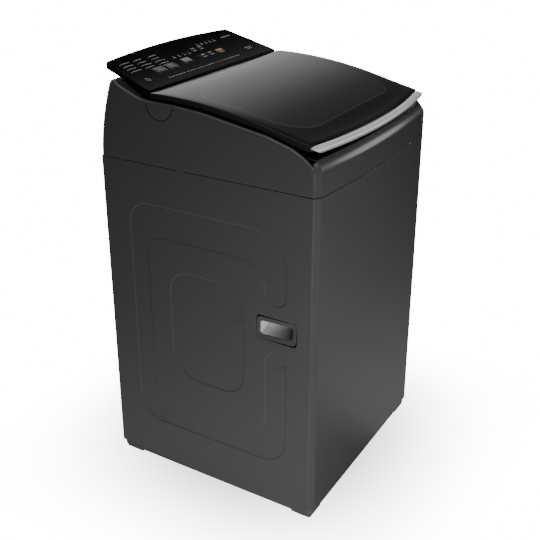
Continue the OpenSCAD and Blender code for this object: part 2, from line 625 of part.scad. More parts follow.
cabinet_shell();
rear_panel();
rear_access_cover();
base_frame();
foot_pads();
levelling_nut();
levelling_foot();
top_cover();
deck();
console_body();
console_panel();
display_window();
indicator_lights();
control_board();
hinge_cap_left();
hinge_cap_right();
hinge_brackets();
lid_damper();
lid_bumpers();
lid_switch();
side_handle_left();
side_handle_right();
inlet_valve();
dispenser_box();
corner_brackets();
suspension_rods();
suspension_springs();
drain_outlet();
cord_gland();
pressure_sensor();
capacitor();
cover_screws();
lid_frame();
lid_glass();
lid_handle_strip();
lid_hinge_pins();
detergent_drawer();
key_level();
key_programme();
key_rinse();
key_soak();
key_spin();
key_power();
key_start();
outer_tub();
tub_ring();
shaft_bearings();
gear_case();
motor_body();
motor_bracket();
drive_belt();
drain_valve();
wash_basket();
balance_ring();
basket_hub();
spin_shaft();
lint_filters();
impeller();
drive_shaft();
motor_pulley();
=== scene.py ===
import json
import math

import bmesh
import bpy
import numpy as np
from mathutils import Matrix, Vector
from mathutils.geometry import delaunay_2d_cdt


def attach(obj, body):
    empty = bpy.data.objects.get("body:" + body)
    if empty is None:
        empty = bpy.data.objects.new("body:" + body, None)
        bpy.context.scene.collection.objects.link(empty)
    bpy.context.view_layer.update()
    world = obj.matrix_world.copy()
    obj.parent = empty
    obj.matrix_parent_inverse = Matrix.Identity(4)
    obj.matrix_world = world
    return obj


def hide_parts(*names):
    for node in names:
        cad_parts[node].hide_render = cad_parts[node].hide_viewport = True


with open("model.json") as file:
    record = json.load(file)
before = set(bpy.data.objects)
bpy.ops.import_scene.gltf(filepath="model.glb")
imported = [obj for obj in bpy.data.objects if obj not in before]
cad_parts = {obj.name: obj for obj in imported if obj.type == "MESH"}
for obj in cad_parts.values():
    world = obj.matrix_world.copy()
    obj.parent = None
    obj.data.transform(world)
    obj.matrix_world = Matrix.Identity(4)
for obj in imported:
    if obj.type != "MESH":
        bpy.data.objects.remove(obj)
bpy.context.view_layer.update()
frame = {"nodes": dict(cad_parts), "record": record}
record = frame["record"]
mm = 0.001
print("frame loaded:", len(frame["nodes"]), "nodes")


# small numpy tools

def smoothStep(a, b, x):
    # 0 below a, 1 above b, 3t^2 - 2t^3 between them
    t = np.clip((np.asarray(x, float) - a) / (b - a), 0, 1)
    return t * t * (3 - 2 * t)


def roundCorners(points, radii, steps=8):
    # each corner of a closed polygon becomes an arc: its centre lies on the bisector,
    # radius / sin(half angle) from the corner, and it touches both sides
    points = np.asarray(points, float)
    out = []
    count = len(points)
    for k in range(count):
        here, before, after = points[k], points[k - 1], points[(k + 1) % count]
        a = (before - here) / np.linalg.norm(before - here)
        b = (after - here) / np.linalg.norm(after - here)
        radius = radii[k]
        cosine = float(np.clip(a @ b, -1, 1))
        if radius <= 0 or cosine < -0.9999:
            out.append(here[None])
            continue
        half = math.acos(cosine) / 2
        centre = here + (a + b) / np.linalg.norm(a + b) * radius / math.sin(half)
        start = here + a * radius / math.tan(half) - centre
        end = here + b * radius / math.tan(half) - centre
        angle0 = math.atan2(start[1], start[0])
        turn = math.atan2(end[1], end[0]) - angle0
        turn = (turn + math.pi) % (2 * math.pi) - math.pi
        angles = angle0 + turn * np.linspace(0, 1, steps + 1)
        out.append(centre + radius * np.stack([np.cos(angles), np.sin(angles)], 1))
    return np.concatenate(out)


def roundedRect(x0, x1, y0, y1, radius, steps=8):
    # rectangle with four arcs of the same radius, listed anticlockwise
    return roundCorners([(x0, y0), (x1, y0), (x1, y1), (x0, y1)], [radius] * 4, steps)


def circleLoop(x, y, radius, count=32):
    # centre plus radius times (cos, sin) of evenly spaced angles
    a = np.linspace(0, 2 * math.pi, count, endpoint=False)
    return np.stack([x + radius * np.cos(a), y + radius * np.sin(a)], 1)


def signedArea(loop):
    # half the sum of cross products of neighbouring points
    nxt = np.roll(loop, -1, 0)
    return 0.5 * float((loop[:, 0] * nxt[:, 1] - loop[:, 1] * nxt[:, 0]).sum())


def leftNormals(loop):
    # unit normals to the left of travel, averaged over the two edges at each point;
    # the mitre length keeps parallel offsets parallel
    forward = np.roll(loop, -1, 0) - loop
    length = np.linalg.norm(forward, axis=1, keepdims=True)
    forward = forward / np.maximum(length, 1e-9)
    normal = np.stack([-forward[:, 1], forward[:, 0]], 1)
    both = normal + np.roll(normal, 1, 0)
    both /= np.maximum(np.linalg.norm(both, axis=1, keepdims=True), 1e-9)
    mitre = np.clip((both * normal).sum(1, keepdims=True), 0.5, 1)
    return both / mitre


def inward(loop):
    # left normals point into an anticlockwise loop
    return leftNormals(loop) * (1 if signedArea(loop) > 0 else -1)


def gridFaces(rows, columns, closeRows=False, closeColumns=False):
    # quads between neighbouring rows and columns of a grid of points
    r = np.arange(rows if closeRows else rows - 1)
    c = np.arange(columns if closeColumns else columns - 1)
    r, c = [v.ravel() for v in np.meshgrid(r, c, indexing="ij")]
    r1, c1 = (r + 1) % rows, (c + 1) % columns
    return np.stack([r * columns + c, r * columns + c1, r1 * columns + c1, r1 * columns + c], 1)


def atHeight(loop, z):
    # a plan loop given its third coordinate
    return np.column_stack([loop, np.full(len(loop), z)])


def grid(points, closeRows=False, closeColumns=False):
    # a surface given as an array (rows, columns, 3)
    points = np.asarray(points, float)
    rows, columns = points.shape[:2]
    return points.reshape(-1, 3), gridFaces(rows, columns, closeRows, closeColumns)


def ringStack(rings, capStart=True, capEnd=True):
    # closed rings of equal length joined in order, each end closed by a fan to its middle
    rings = np.asarray(rings, float)
    count, size = rings.shape[:2]
    points, faces = grid(rings, False, True)
    faces = [faces]
    extra = []
    for wanted, k in ((capStart, 0), (capEnd, count - 1)):
        if wanted:
            index = count * size + len(extra)
            extra.append(rings[k].mean(0))
            i = np.arange(size)
            middle = np.full(size, index)
            fan = np.stack([k * size + i, k * size + (i + 1) % size, middle, middle], 1)
            faces.append(fan if k else fan[:, [1, 0, 2, 3]])
    if extra:
        points = np.concatenate([points, extra])
    return points, np.concatenate(faces)


def insideLoop(loop, p):
    # even-odd rule: count the loop's edges crossed by a ray in +x
    a, b = loop, np.roll(loop, -1, 0)
    px, py = p[:, None, 0], p[:, None, 1]
    cross = ((a[:, 1] > py) != (b[:, 1] > py))
    dy = np.where(b[:, 1] == a[:, 1], 1e-12, b[:, 1] - a[:, 1])
    at = a[:, 0] + (py - a[:, 1]) * (b[:, 0] - a[:, 0]) / dy
    return ((cross & (px < at)).sum(1) % 2).astype(bool)


def fillLoops(loops, spacing=None, margin=1.0):
    # triangles inside the first loop and outside the others; with a spacing, a lattice of
    # points is added that keeps margin away from every loop
    points = [np.asarray(loop, float) for loop in loops]
    sizes = [len(loop) for loop in points]
    edges, start = [], 0
    for size in sizes:
        i = np.arange(size)
        edges.append(np.stack([start + i, start + (i + 1) % size], 1))
        start += size
    every = np.concatenate(points)
    if spacing is not None:
        low, high = points[0].min(0), points[0].max(0)
        xs = np.linspace(low[0], high[0], max(2, int((high[0] - low[0]) / spacing[0]) + 1))
        ys = np.linspace(low[1], high[1], max(2, int((high[1] - low[1]) / spacing[1]) + 1))
        lattice = np.stack([v.ravel() for v in np.meshgrid(xs, ys)], 1)
        keep = insideLoop(points[0], lattice)
        for hole in points[1:]:
            keep &= ~insideLoop(hole, lattice)
        lattice = lattice[keep]
        near = np.full(len(lattice), 1e9)
        for part in np.array_split(np.arange(len(every)), 8):
            near = np.minimum(near, np.linalg.norm(lattice[:, None] - every[part][None], axis=2).min(1))
        every = np.concatenate([every, lattice[near > margin]])
    found = delaunay_2d_cdt([Vector(p) for p in every.tolist()], np.concatenate(edges).tolist(), [], 0, 1e-7)
    where = np.array([tuple(p) for p in found[0]])
    tris = np.array([f for f in found[2] if len(f) == 3])
    middle = where[tris].mean(1)
    keep = insideLoop(points[0], middle)
    for hole in points[1:]:
        keep &= ~insideLoop(hole, middle)
    tris = tris[keep]
    return where, np.concatenate([tris, tris[:, 2:]], 1)


def facing(part, outward):
    # turns a part over when its faces look against the outward directions on average
    points, faces = part
    a, b, c, d = [points[faces[:, k]] for k in range(4)]
    normal = np.cross(c - a, d - b)
    normal = np.where(np.abs(normal).sum(1, keepdims=True) > 0, normal, np.cross(b - a, c - a))
    middle = (a + b + c + d) / 4
    way = outward(middle) if callable(outward) else middle - np.asarray(outward, float)
    if (normal * way).sum() < 0:
        faces = faces[:, ::-1]
    return points, faces


def towards(*direction):
    # the same direction at every place, for facing
    return lambda places: np.broadcast_to(direction, places.shape)


def flipX(part):
    # mirror image about x = 0 with the faces turned back outwards
    points, faces, *rest = part
    return (points * np.array([-1, 1, 1]), faces[:, ::-1], *rest)


def buildPiece(name, parts, material, body, nodes=(), merge=0.02, wall=None, recalc=False,
               angle=32, weighted=False):
    # parts: (points in mm, faces) or (points, faces, material number), made one mesh in metres;
    # a face whose first two or last two corners are the same is a triangle
    mesh = bpy.data.meshes.new(name)
    allPoints, loops, totals, kinds, start = [], [], [], [], 0
    for part in parts:
        points, faces = part[0], part[1]
        tri = faces[:, 2] == faces[:, 3]
        first = faces[:, 0] == faces[:, 1]
        kindsOfFace = ((~tri & ~first, [0, 1, 2, 3]), (tri & ~first, [0, 1, 2]), (first & ~tri, [1, 2, 3]))
        for chosen, columns in kindsOfFace:
            some = faces[chosen][:, columns] + start
            loops.append(some.ravel())
            totals.append(np.full(len(some), len(columns)))
            kinds.append(np.broadcast_to(part[2] if len(part) > 2 else 0, len(faces))[chosen])
        allPoints.append(points)
        start += len(points)
    points = np.concatenate(allPoints) * mm
    loops, totals, kinds = np.concatenate(loops), np.concatenate(totals), np.concatenate(kinds)
    mesh.vertices.add(len(points))
    mesh.vertices.foreach_set("co", points.ravel())
    mesh.loops.add(len(loops))
    mesh.loops.foreach_set("vertex_index", loops.astype(np.int32))
    mesh.polygons.add(len(totals))
    mesh.polygons.foreach_set("loop_start", np.concatenate([[0], np.cumsum(totals)[:-1]]).astype(np.int32))
    mesh.polygons.foreach_set("loop_total", totals.astype(np.int32))
    mesh.polygons.foreach_set("material_index", kinds.astype(np.int32))
    mesh.update(calc_edges=True)
    mesh.validate()
    work = bmesh.new()
    work.from_mesh(mesh)
    if merge:
        bmesh.ops.remove_doubles(work, verts=work.verts, dist=merge * mm)
    if recalc:
        bmesh.ops.recalc_face_normals(work, faces=work.faces)
    work.to_mesh(mesh)
    work.free()
    mesh.polygons.foreach_set("use_smooth", np.ones(len(mesh.polygons), bool))
    if angle:
        mesh.set_sharp_from_angle(angle=math.radians(angle))
    piece = bpy.data.objects.new(name, mesh)
    bpy.context.scene.collection.objects.link(piece)
    for one in (material if isinstance(material, (list, tuple)) else [material]):
        mesh.materials.append(one)
    if wall:
        solid = piece.modifiers.new("wall", "SOLIDIFY")
        solid.thickness, solid.offset, solid.use_rim = wall * mm, -1, True
        solid.use_even_offset = True
    if weighted:
        shade = piece.modifiers.new("shade", "WEIGHTED_NORMAL")
        shade.mode, shade.weight, shade.keep_sharp = "FACE_AREA", 50, True
    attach(piece, body)
    if nodes:
        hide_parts(*nodes)
    return piece


def tiltedSlab(loop, place, bottom, top, radius, dome=0.0):
    # a closed outline raised from bottom to top, its upper edge a quarter circle of the
    # radius; place(p, q, h) carries it into space, and dome lifts the middle
    turn = np.linspace(0, math.pi / 2, 5)
    inset = radius * (1 - np.cos(turn))
    height = top - radius + radius * np.sin(turn)
    normal = inward(loop)
    centre = loop.mean(0)
    rings = [place(loop[:, 0], loop[:, 1], np.full(len(loop), bottom))]
    for d, h in zip(inset, height):
        ring = loop + normal * d
        rings.append(place(ring[:, 0], ring[:, 1], np.full(len(ring), h)))
    last = loop + normal * radius
    for share in (0.66, 0.33):
        ring = centre + (last - centre) * share
        rings.append(place(ring[:, 0], ring[:, 1], np.full(len(ring), top + dome * (1 - share ** 2))))
    return ringStack(np.array(rings))


# shader groups shared by the materials

def newGroup(name, inputs, outputs):
    # an empty group with its sockets: inputs are (label, kind, value), outputs (label, kind)
    group = bpy.data.node_groups.new(name, "ShaderNodeTree")
    for label, kind, value in inputs:
        socket = group.interface.new_socket(name=label, in_out="INPUT", socket_type="NodeSocket" + kind)
        if value is not None:
            socket.default_value = value
    for label, kind in outputs:
        group.interface.new_socket(name=label, in_out="OUTPUT", socket_type="NodeSocket" + kind)
    return group, group.nodes.new("NodeGroupInput"), group.nodes.new("NodeGroupOutput")


def link(tree, a, b):
    tree.links.new(a, b)


def scaleColour(tree, colour, gain, out):
    # colour times gain, sent to the socket out
    scaled = tree.nodes.new("ShaderNodeVectorMath")
    scaled.operation = "SCALE"
    link(tree, colour, scaled.inputs[0])
    link(tree, gain, scaled.inputs["Scale"])
    link(tree, scaled.outputs[0], out)


def splitPlace(tree):
    # the three Object coordinates of a point, one socket each
    split = tree.nodes.new("ShaderNodeSeparateXYZ")
    link(tree, tree.nodes.new("ShaderNodeTexCoord").outputs["Object"], split.inputs[0])
    return split.outputs


def mathNode(tree, operation, a, b=None, clamp=False):
    # one sum; a and b are numbers or sockets
    node = tree.nodes.new("ShaderNodeMath")
    node.operation, node.use_clamp = operation, clamp
    for socket, value in zip(node.inputs, (a, b)):
        if value is None:
            continue
        if isinstance(value, (int, float)):
            socket.default_value = value
        else:
            link(tree, value, socket)
    return node.outputs[0]


def noiseNode(tree, where, scale, detail=2.0, rough=0.5):
    # fractal noise at a place, its scale a number or a socket
    node = tree.nodes.new("ShaderNodeTexNoise")
    link(tree, where, node.inputs["Vector"])
    node.inputs["Detail"].default_value = detail
    node.inputs["Roughness"].default_value = rough
    if isinstance(scale, (int, float)):
        node.inputs["Scale"].default_value = scale
    else:
        link(tree, scale, node.inputs["Scale"])
    return node


def mixColour(tree, share, a, b):
    # a (1 - share) + b share, each a number, a colour or a socket
    node = tree.nodes.new("ShaderNodeMix")
    node.data_type = "RGBA"
    for socket, value in ((node.inputs[0], share), (node.inputs[6], a), (node.inputs[7], b)):
        if isinstance(value, (tuple, list)):
            socket.default_value = (*value, 1) if len(value) == 3 else value
        elif isinstance(value, (int, float)):
            socket.default_value = value
        else:
            link(tree, value, socket)
    return node.outputs[2]


def flakeGroup():
    # colour = base brightened by small bright cells and dimmed by slow clouds;
    # height = cell noise for the grain of sprayed paint plus a faint orange peel
    group, inn, out = newGroup("paintGrain", [
        ("Base", "Color", (0.05, 0.05, 0.05, 1)), ("Flake", "Float", 0.3), ("Size", "Float", 2600.0),
        ("Cloud", "Float", 0.08), ("Rough", "Float", 0.4)],
        [("Color", "Color"), ("Roughness", "Float"), ("Height", "Float")])
    where = group.nodes.new("ShaderNodeTexCoord").outputs["Object"]
    cell = group.nodes.new("ShaderNodeTexVoronoi")
    link(group, where, cell.inputs["Vector"])
    link(group, inn.outputs["Size"], cell.inputs["Scale"])
    spark = mathNode(group, "POWER", mathNode(group, "SUBTRACT", 1.0, cell.outputs["Distance"], True), 3.0)
    tone = group.nodes.new("ShaderNodeSeparateColor")
    link(group, cell.outputs["Color"], tone.inputs[0])
    spark = mathNode(group, "MULTIPLY", spark, tone.outputs[0])
    cloud = noiseNode(group, where, 5.0, 3.0).outputs[0]
    gain = mathNode(group, "MULTIPLY", spark, inn.outputs["Flake"])
    shade = mathNode(group, "MULTIPLY", mathNode(group, "SUBTRACT", cloud, 0.5), inn.outputs["Cloud"])
    gain = mathNode(group, "ADD", mathNode(group, "ADD", gain, 1.0), shade)
    scaleColour(group, inn.outputs["Base"], gain, out.inputs["Color"])
    rough = mathNode(group, "ADD", inn.outputs["Rough"], mathNode(group, "MULTIPLY", shade, 0.5))
    link(group, rough, out.inputs["Roughness"])
    peel = noiseNode(group, where, 260.0, 1.0).outputs[0]
    grain, peel = mathNode(group, "MULTIPLY", spark, 0.4), mathNode(group, "MULTIPLY", peel, 0.6)
    link(group, mathNode(group, "ADD", grain, peel), out.inputs["Height"])
    return group


def grainGroup():
    # fine moulded grain: height = fine noise; colour = base (1 + slow noise * wear / 2), and
    # roughness = rough + (slow noise - 0.5) / 4
    group, inn, out = newGroup("mouldedGrain", [
        ("Base", "Color", (0.05, 0.05, 0.05, 1)), ("Grain", "Float", 900.0), ("Wear", "Float", 0.1),
        ("Rough", "Float", 0.5)],
        [("Color", "Color"), ("Roughness", "Float"), ("Height", "Float")])
    where = group.nodes.new("ShaderNodeTexCoord").outputs["Object"]
    fine = noiseNode(group, where, inn.outputs["Grain"], 2.0).outputs[0]
    slow = noiseNode(group, where, 9.0, 4.0, 0.6).outputs[0]
    mask = mathNode(group, "MULTIPLY", mathNode(group, "MULTIPLY", slow, inn.outputs["Wear"]), 0.5)
    scaleColour(group, inn.outputs["Base"], mathNode(group, "ADD", mask, 1.0), out.inputs["Color"])
    change = mathNode(group, "MULTIPLY", mathNode(group, "SUBTRACT", slow, 0.5), 0.25)
    link(group, mathNode(group, "ADD", inn.outputs["Rough"], change), out.inputs["Roughness"])
    link(group, fine, out.inputs["Height"])
    return group


def brushedGroup():
    # colour and roughness streaked along one axis: noise of coordinates stretched by the vector
    group, inn, out = newGroup("brushedMetal", [
        ("Base", "Color", (0.6, 0.6, 0.6, 1)), ("Stretch", "Vector", (1.0, 1.0, 1.0)),
        ("Rough", "Float", 0.3), ("Contrast", "Float", 0.2)],
        [("Color", "Color"), ("Roughness", "Float"), ("Height", "Float")])
    where = group.nodes.new("ShaderNodeTexCoord").outputs["Object"]
    scaled = group.nodes.new("ShaderNodeVectorMath")
    scaled.operation = "MULTIPLY"
    link(group, where, scaled.inputs[0])
    link(group, inn.outputs["Stretch"], scaled.inputs[1])
    streak = noiseNode(group, scaled.outputs[0], 1.0, 3.0, 0.6).outputs[0]
    signed = mathNode(group, "MULTIPLY", mathNode(group, "SUBTRACT", streak, 0.5), inn.outputs["Contrast"])
    scaleColour(group, inn.outputs["Base"], mathNode(group, "ADD", signed, 1.0), out.inputs["Color"])
    rough = mathNode(group, "ADD", inn.outputs["Rough"], mathNode(group, "MULTIPLY", signed, 0.8))
    link(group, rough, out.inputs["Roughness"])
    link(group, streak, out.inputs["Height"])
    return group


paintGrain, mouldedGrain, brushedMetal = flakeGroup(), grainGroup(), brushedGroup()


def finish(name, group, values, bump, **fixed):
    # Principled shader fed by one shared group; bump is (strength, distance in metres) or
    # None, and fixed holds the plain socket values
    material = bpy.data.materials.new(name)
    material.use_nodes = True
    tree = material.node_tree
    shader = tree.nodes["Principled BSDF"]
    for key, value in fixed.items():
        socket = shader.inputs[key.replace("_", " ")]
        socket.default_value = (*value, 1) if isinstance(value, tuple) and len(value) == 3 else value
    source = tree.nodes.new("ShaderNodeGroup")
    source.node_tree = group
    for key, value in values.items():
        source.inputs[key].default_value = (*value, 1) if key == "Base" else value
    link(tree, source.outputs["Color"], shader.inputs["Base Color"])
    link(tree, source.outputs["Roughness"], shader.inputs["Roughness"])
    if bump:
        node = tree.nodes.new("ShaderNodeBump")
        node.inputs["Strength"].default_value, node.inputs["Distance"].default_value = bump
        link(tree, source.outputs["Height"], node.inputs["Height"])
        link(tree, node.outputs[0], shader.inputs["Normal"])
    material.diffuse_color = (*values["Base"], 1)
    return material


def painted(name, base, cloud, rough, bump, **fixed):
    # metallic paint: the flake group over a half metal base
    values = {"Base": base, "Flake": 0.5, "Size": 1500.0, "Cloud": cloud, "Rough": rough}
    return finish(name, paintGrain, values, bump, Metallic=0.45, **fixed)


def moulded(name, base, grain, wear, rough, bump, **fixed):
    # plastic, rubber or cast metal on the moulded grain
    values = {"Base": base, "Grain": grain, "Wear": wear, "Rough": rough}
    return finish(name, mouldedGrain, values, bump, **fixed)


def brushed(name, base, stretch, rough, contrast, bump, **fixed):
    # metal streaked across the long side of stretch
    values = {"Base": base, "Stretch": stretch, "Rough": rough, "Contrast": contrast}
    return finish(name, brushedMetal, values, bump, **fixed)


graphitePaint = painted("graphitePaint", (0.070, 0.071, 0.073), 0.06, 0.44, (0.10, 0.00015),
                        Coat_Weight=0.25, Coat_Roughness=0.25)
coverPaint = painted("coverPaint", (0.068, 0.069, 0.071), 0.05, 0.40, (0.08, 0.00015),
                     Coat_Weight=0.8, Coat_Roughness=0.14)
baseBlack = moulded("baseBlack", (0.045, 0.045, 0.047), 900.0, 0.5, 0.55, (0.25, 0.0004))
deckBlack = moulded("deckBlack", (0.012, 0.012, 0.013), 1100.0, 0.3, 0.42, (0.2, 0.0003))
pianoBlack = moulded("pianoBlack", (0.003, 0.003, 0.0035), 60.0, 0.2, 0.12, (0.02, 0.0003),
                     Specular_IOR_Level=0.025)
trimBlack = moulded("trimBlack", (0.008, 0.008, 0.009), 400.0, 0.2, 0.25, (0.05, 0.0002))
alongStrip = (30.0, 2500.0, 2500.0)
brightStrip = brushed("brightStrip", (0.80, 0.81, 0.82), alongStrip, 0.30, 0.12, (0.03, 0.0001),
                      Metallic=0.35)
polishedRim = brushed("polishedRim", (0.92, 0.93, 0.94), alongStrip, 0.14, 0.08, (0.02, 0.0001),
                      Metallic=0.85)
gripGrey = moulded("gripGrey", (0.062, 0.063, 0.065), 500.0, 0.25, 0.32, (0.05, 0.0002), Metallic=0.4)


def makeScoopPaintedShade():
    # silver mixed with a deep grey by a straight ramp in y as painted shade: none at the back, most at the
    # front end, standing in for the reflection that fades across the cup
    s = {"back": -0.150, "front": -0.222, "most": 0.8, "deep": (0.01, 0.01, 0.011)}
    material = brushed("scoopSilverPaintedShade", (0.50, 0.51, 0.52), (60.0, 40.0, 900.0), 0.30, 0.12, (0.03, 0.0001),
                       Metallic=0.3)
    tree = material.node_tree
    shader = tree.nodes["Principled BSDF"]
    # painted shade: this ramp darkens the silver towards the cup's front end, where the reflection fades
    paintedShadeRamp = tree.nodes.new("ShaderNodeMapRange")
    link(tree, splitPlace(tree)[1], paintedShadeRamp.inputs["Value"])
    paintedShadeRamp.inputs["From Min"].default_value, paintedShadeRamp.inputs["From Max"].default_value = s["front"], s["back"]
    paintedShadeRamp.inputs["To Min"].default_value, paintedShadeRamp.inputs["To Max"].default_value = s["most"], 0.0
    source = shader.inputs["Base Color"].links[0].from_socket
    link(tree, mixColour(tree, paintedShadeRamp.outputs[0], source, s["deep"]), shader.inputs["Base Color"])
    return material


scoopSilverPaintedShade = makeScoopPaintedShade()
printWhite = moulded("printWhite", (0.32, 0.33, 0.34), 800.0, 0.2, 0.5, (0.02, 0.0001))
printOrange = moulded("printOrange", (0.38, 0.12, 0.035), 800.0, 0.2, 0.45, (0.02, 0.0001))
displayGrey = moulded("displayGrey", (0.10, 0.105, 0.11), 200.0, 0.2, 0.25, (0.02, 0.0001), Coat_Weight=0.5)
keyBlack = moulded("keyBlack", (0.018, 0.018, 0.020), 700.0, 0.2, 0.3, (0.04, 0.0002))
keyOrange = moulded("keyOrange", (0.32, 0.10, 0.035), 700.0, 0.2, 0.35, (0.04, 0.0002))
rubberBlack = moulded("rubberBlack", (0.02, 0.02, 0.02), 600.0, 0.6, 0.75, (0.3, 0.0004))
zincSteel = brushed("zincSteel", (0.60, 0.61, 0.62), (60.0, 60.0, 60.0), 0.32, 0.3, (0.05, 0.0002),
                    Metallic=1.0)
basketSteel = brushed("basketSteel", (0.66, 0.67, 0.68), (40.0, 40.0, 1600.0), 0.26, 0.16, (0.04, 0.0001),
                      Metallic=0.6)
castAlloy = moulded("castAlloy", (0.45, 0.46, 0.47), 350.0, 0.4, 0.45, (0.35, 0.0006), Metallic=1.0)
tubWhite = moulded("tubWhite", (0.62, 0.63, 0.62), 500.0, 0.3, 0.45, (0.1, 0.0003))
paleGrey = moulded("paleGrey", (0.42, 0.44, 0.46), 500.0, 0.25, 0.35, (0.08, 0.0003))
impellerGrey = moulded("impellerGrey", (0.50, 0.52, 0.54), 500.0, 0.25, 0.3, (0.08, 0.0003))
boardGreen = moulded("boardGreen", (0.02, 0.09, 0.04), 300.0, 0.4, 0.4, (0.1, 0.0003))
partGrey = moulded("partGrey", (0.5, 0.5, 0.48), 500.0, 0.3, 0.5, (0.1, 0.0003))


def lidGlassFinish():
    # tinted glass seen as a dark gloss: a rounded rectangle in x and y, with the distance to
    # its edge = length(max(|p| - half, 0)) - radius, parts the clear middle from the dark
    # printed border, and a thin line marks the join
    s = {"middle": (0.0, -0.068), "half": (0.150, 0.060), "radius": 0.085, "soft": 0.003, "lineFall": 700.0,
         "inside": (0.021, 0.021, 0.022), "border": (0.012, 0.012, 0.013), "line": (0.034, 0.034, 0.035)}
    material = moulded("lidTint", s["inside"], 30.0, 0.1, 0.07, None)
    tree = material.node_tree
    shader = tree.nodes["Principled BSDF"]
    place = splitPlace(tree)
    squares = []
    for k in range(2):
        over = mathNode(tree, "ABSOLUTE", mathNode(tree, "SUBTRACT", place[k], s["middle"][k]))
        over = mathNode(tree, "MAXIMUM", mathNode(tree, "SUBTRACT", over, s["half"][k]), 0.0)
        squares.append(mathNode(tree, "MULTIPLY", over, over))
    far = mathNode(tree, "SUBTRACT", mathNode(tree, "SQRT", mathNode(tree, "ADD", *squares)), s["radius"])
    edge = tree.nodes.new("ShaderNodeMapRange")
    edge.interpolation_type = "SMOOTHSTEP"
    link(tree, far, edge.inputs["Value"])
    edge.inputs["From Min"].default_value, edge.inputs["From Max"].default_value = -s["soft"], s["soft"]
    away = mathNode(tree, "MULTIPLY", mathNode(tree, "ABSOLUTE", far), s["lineFall"])
    line = mathNode(tree, "SUBTRACT", 1.0, away, True)
    source = shader.inputs["Base Color"].links[0].from_socket
    colour = mixColour(tree, edge.outputs[0], source, s["border"])
    link(tree, mixColour(tree, line, colour, s["line"]), shader.inputs["Base Color"])
    bump = tree.nodes.new("ShaderNodeBump")
    bump.inputs["Strength"].default_value, bump.inputs["Distance"].default_value = 0.25, 0.0006
    link(tree, edge.outputs[0], bump.inputs["Height"])
    link(tree, bump.outputs[0], shader.inputs["Normal"])
    return material


lidTint = lidGlassFinish()

slotMaterials = {
    "painted_graphite": graphitePaint, "cover_graphite": coverPaint, "black_plastic": deckBlack,
    "panel_black": pianoBlack, "print_white": printWhite, "display_grey": displayGrey, "key_dark": keyBlack,
    "key_orange": keyOrange, "lid_tint": lidTint, "bright_strip": brightStrip, "grip_grey": gripGrey,
    "rubber_black": rubberBlack, "zinc_steel": zincSteel, "basket_steel": basketSteel,
    "cast_aluminium": castAlloy, "tub_white": tubWhite, "pale_grey": paleGrey, "impeller_grey": impellerGrey,
    "board_green": boardGreen, "part_grey": partGrey, "belt_black": rubberBlack}
for entry in record["subparts"]:
    node = frame["nodes"].get(entry["node"])
    if node is not None:
        for place in node.material_slots:
            place.material = slotMaterials[entry["material_slot"]]
print("materials ready:", len(slotMaterials))


# cabinet

cabinet = {"halfWidth": 279.8, "halfDepth": 276.0, "bow": 16.0, "bottom": 28.0, "seam": 794.0,
           "bandWidth": 14.0, "bandDepth": 10.0, "creaseRadius": 7.0, "backRadius": 6.0, "flange": 18.0,
           "pressDepth": 1.25, "pressEdge": 3.0, "slotRadius": 25.9, "sheet": 1.0, "flatFront": -250.0,
           "flatBack": 262.0}


def frontY(x, bow):
    # parabola: -halfDepth - bow (1 - (x / (halfWidth - bandWidth))^2)
    reach = cabinet["halfWidth"] - cabinet["bandWidth"]
    return -cabinet["halfDepth"] - bow * (1 - np.minimum(1, (np.asarray(x, float) / reach) ** 2))


def halfPlan(bow, steps=7, frontCount=15):
    # left half of the plan from the side to the middle of the front: the side, an arc, the flat
    # corner band, an arc, and the bowed front
    c = cabinet
    w, d = c["halfWidth"], c["halfDepth"]
    x0 = -w + c["bandWidth"]
    slope = 2 * bow / (w - c["bandWidth"])
    nextPoint = (x0 + 40, frontY(x0, bow) - slope * 40)
    route = [(-w, 0), (-w, -d + c["bandDepth"]), (x0, float(frontY(x0, bow))), nextPoint, (0, 0)]
    corner = roundCorners(route, [0, c["creaseRadius"], c["creaseRadius"], 0, 0], steps)
    corner = corner[1:1 + 2 * (steps + 1)]
    start = corner[-1, 0]
    x = start + (0 - start) * (np.arange(1, frontCount + 1) / frontCount)
    return np.concatenate([corner, np.stack([x, frontY(x, bow)], 1)])


def cornerToCorner(bow):
    # the half plan and its mirror image, left to right
    half = halfPlan(bow)
    other = half[:-1][::-1] * np.array([-1, 1])
    return np.concatenate([half, other])


def pressLoop():
    # outline of the pressed C-shaped channel, in y and z
    end = cabinet["slotRadius"]
    corners = [(-206, 532, end), (-206, 701, 88), (202, 701, 52), (202, 130, 62), (-206, 130, 62),
               (-206, 419, end), (-154, 419, end), (-154, 205, 46), (156, 205, 52), (156, 625, 42),
               (-154, 625, 58), (-154, 532, end)]
    return roundCorners([p[:2] for p in corners], [p[2] for p in corners], 14)


def pressPad():
    # outline of the pad inside the channel, in y and z
    return roundCorners([(-98, 280), (97, 280), (97, 554), (-98, 554)], [54, 74, 52, 74], 14)


gripHole = roundCorners([(-232.5, 446.5), (-132.5, 446.5), (-132.5, 504.5), (-232.5, 504.5)], [9] * 4, 6)


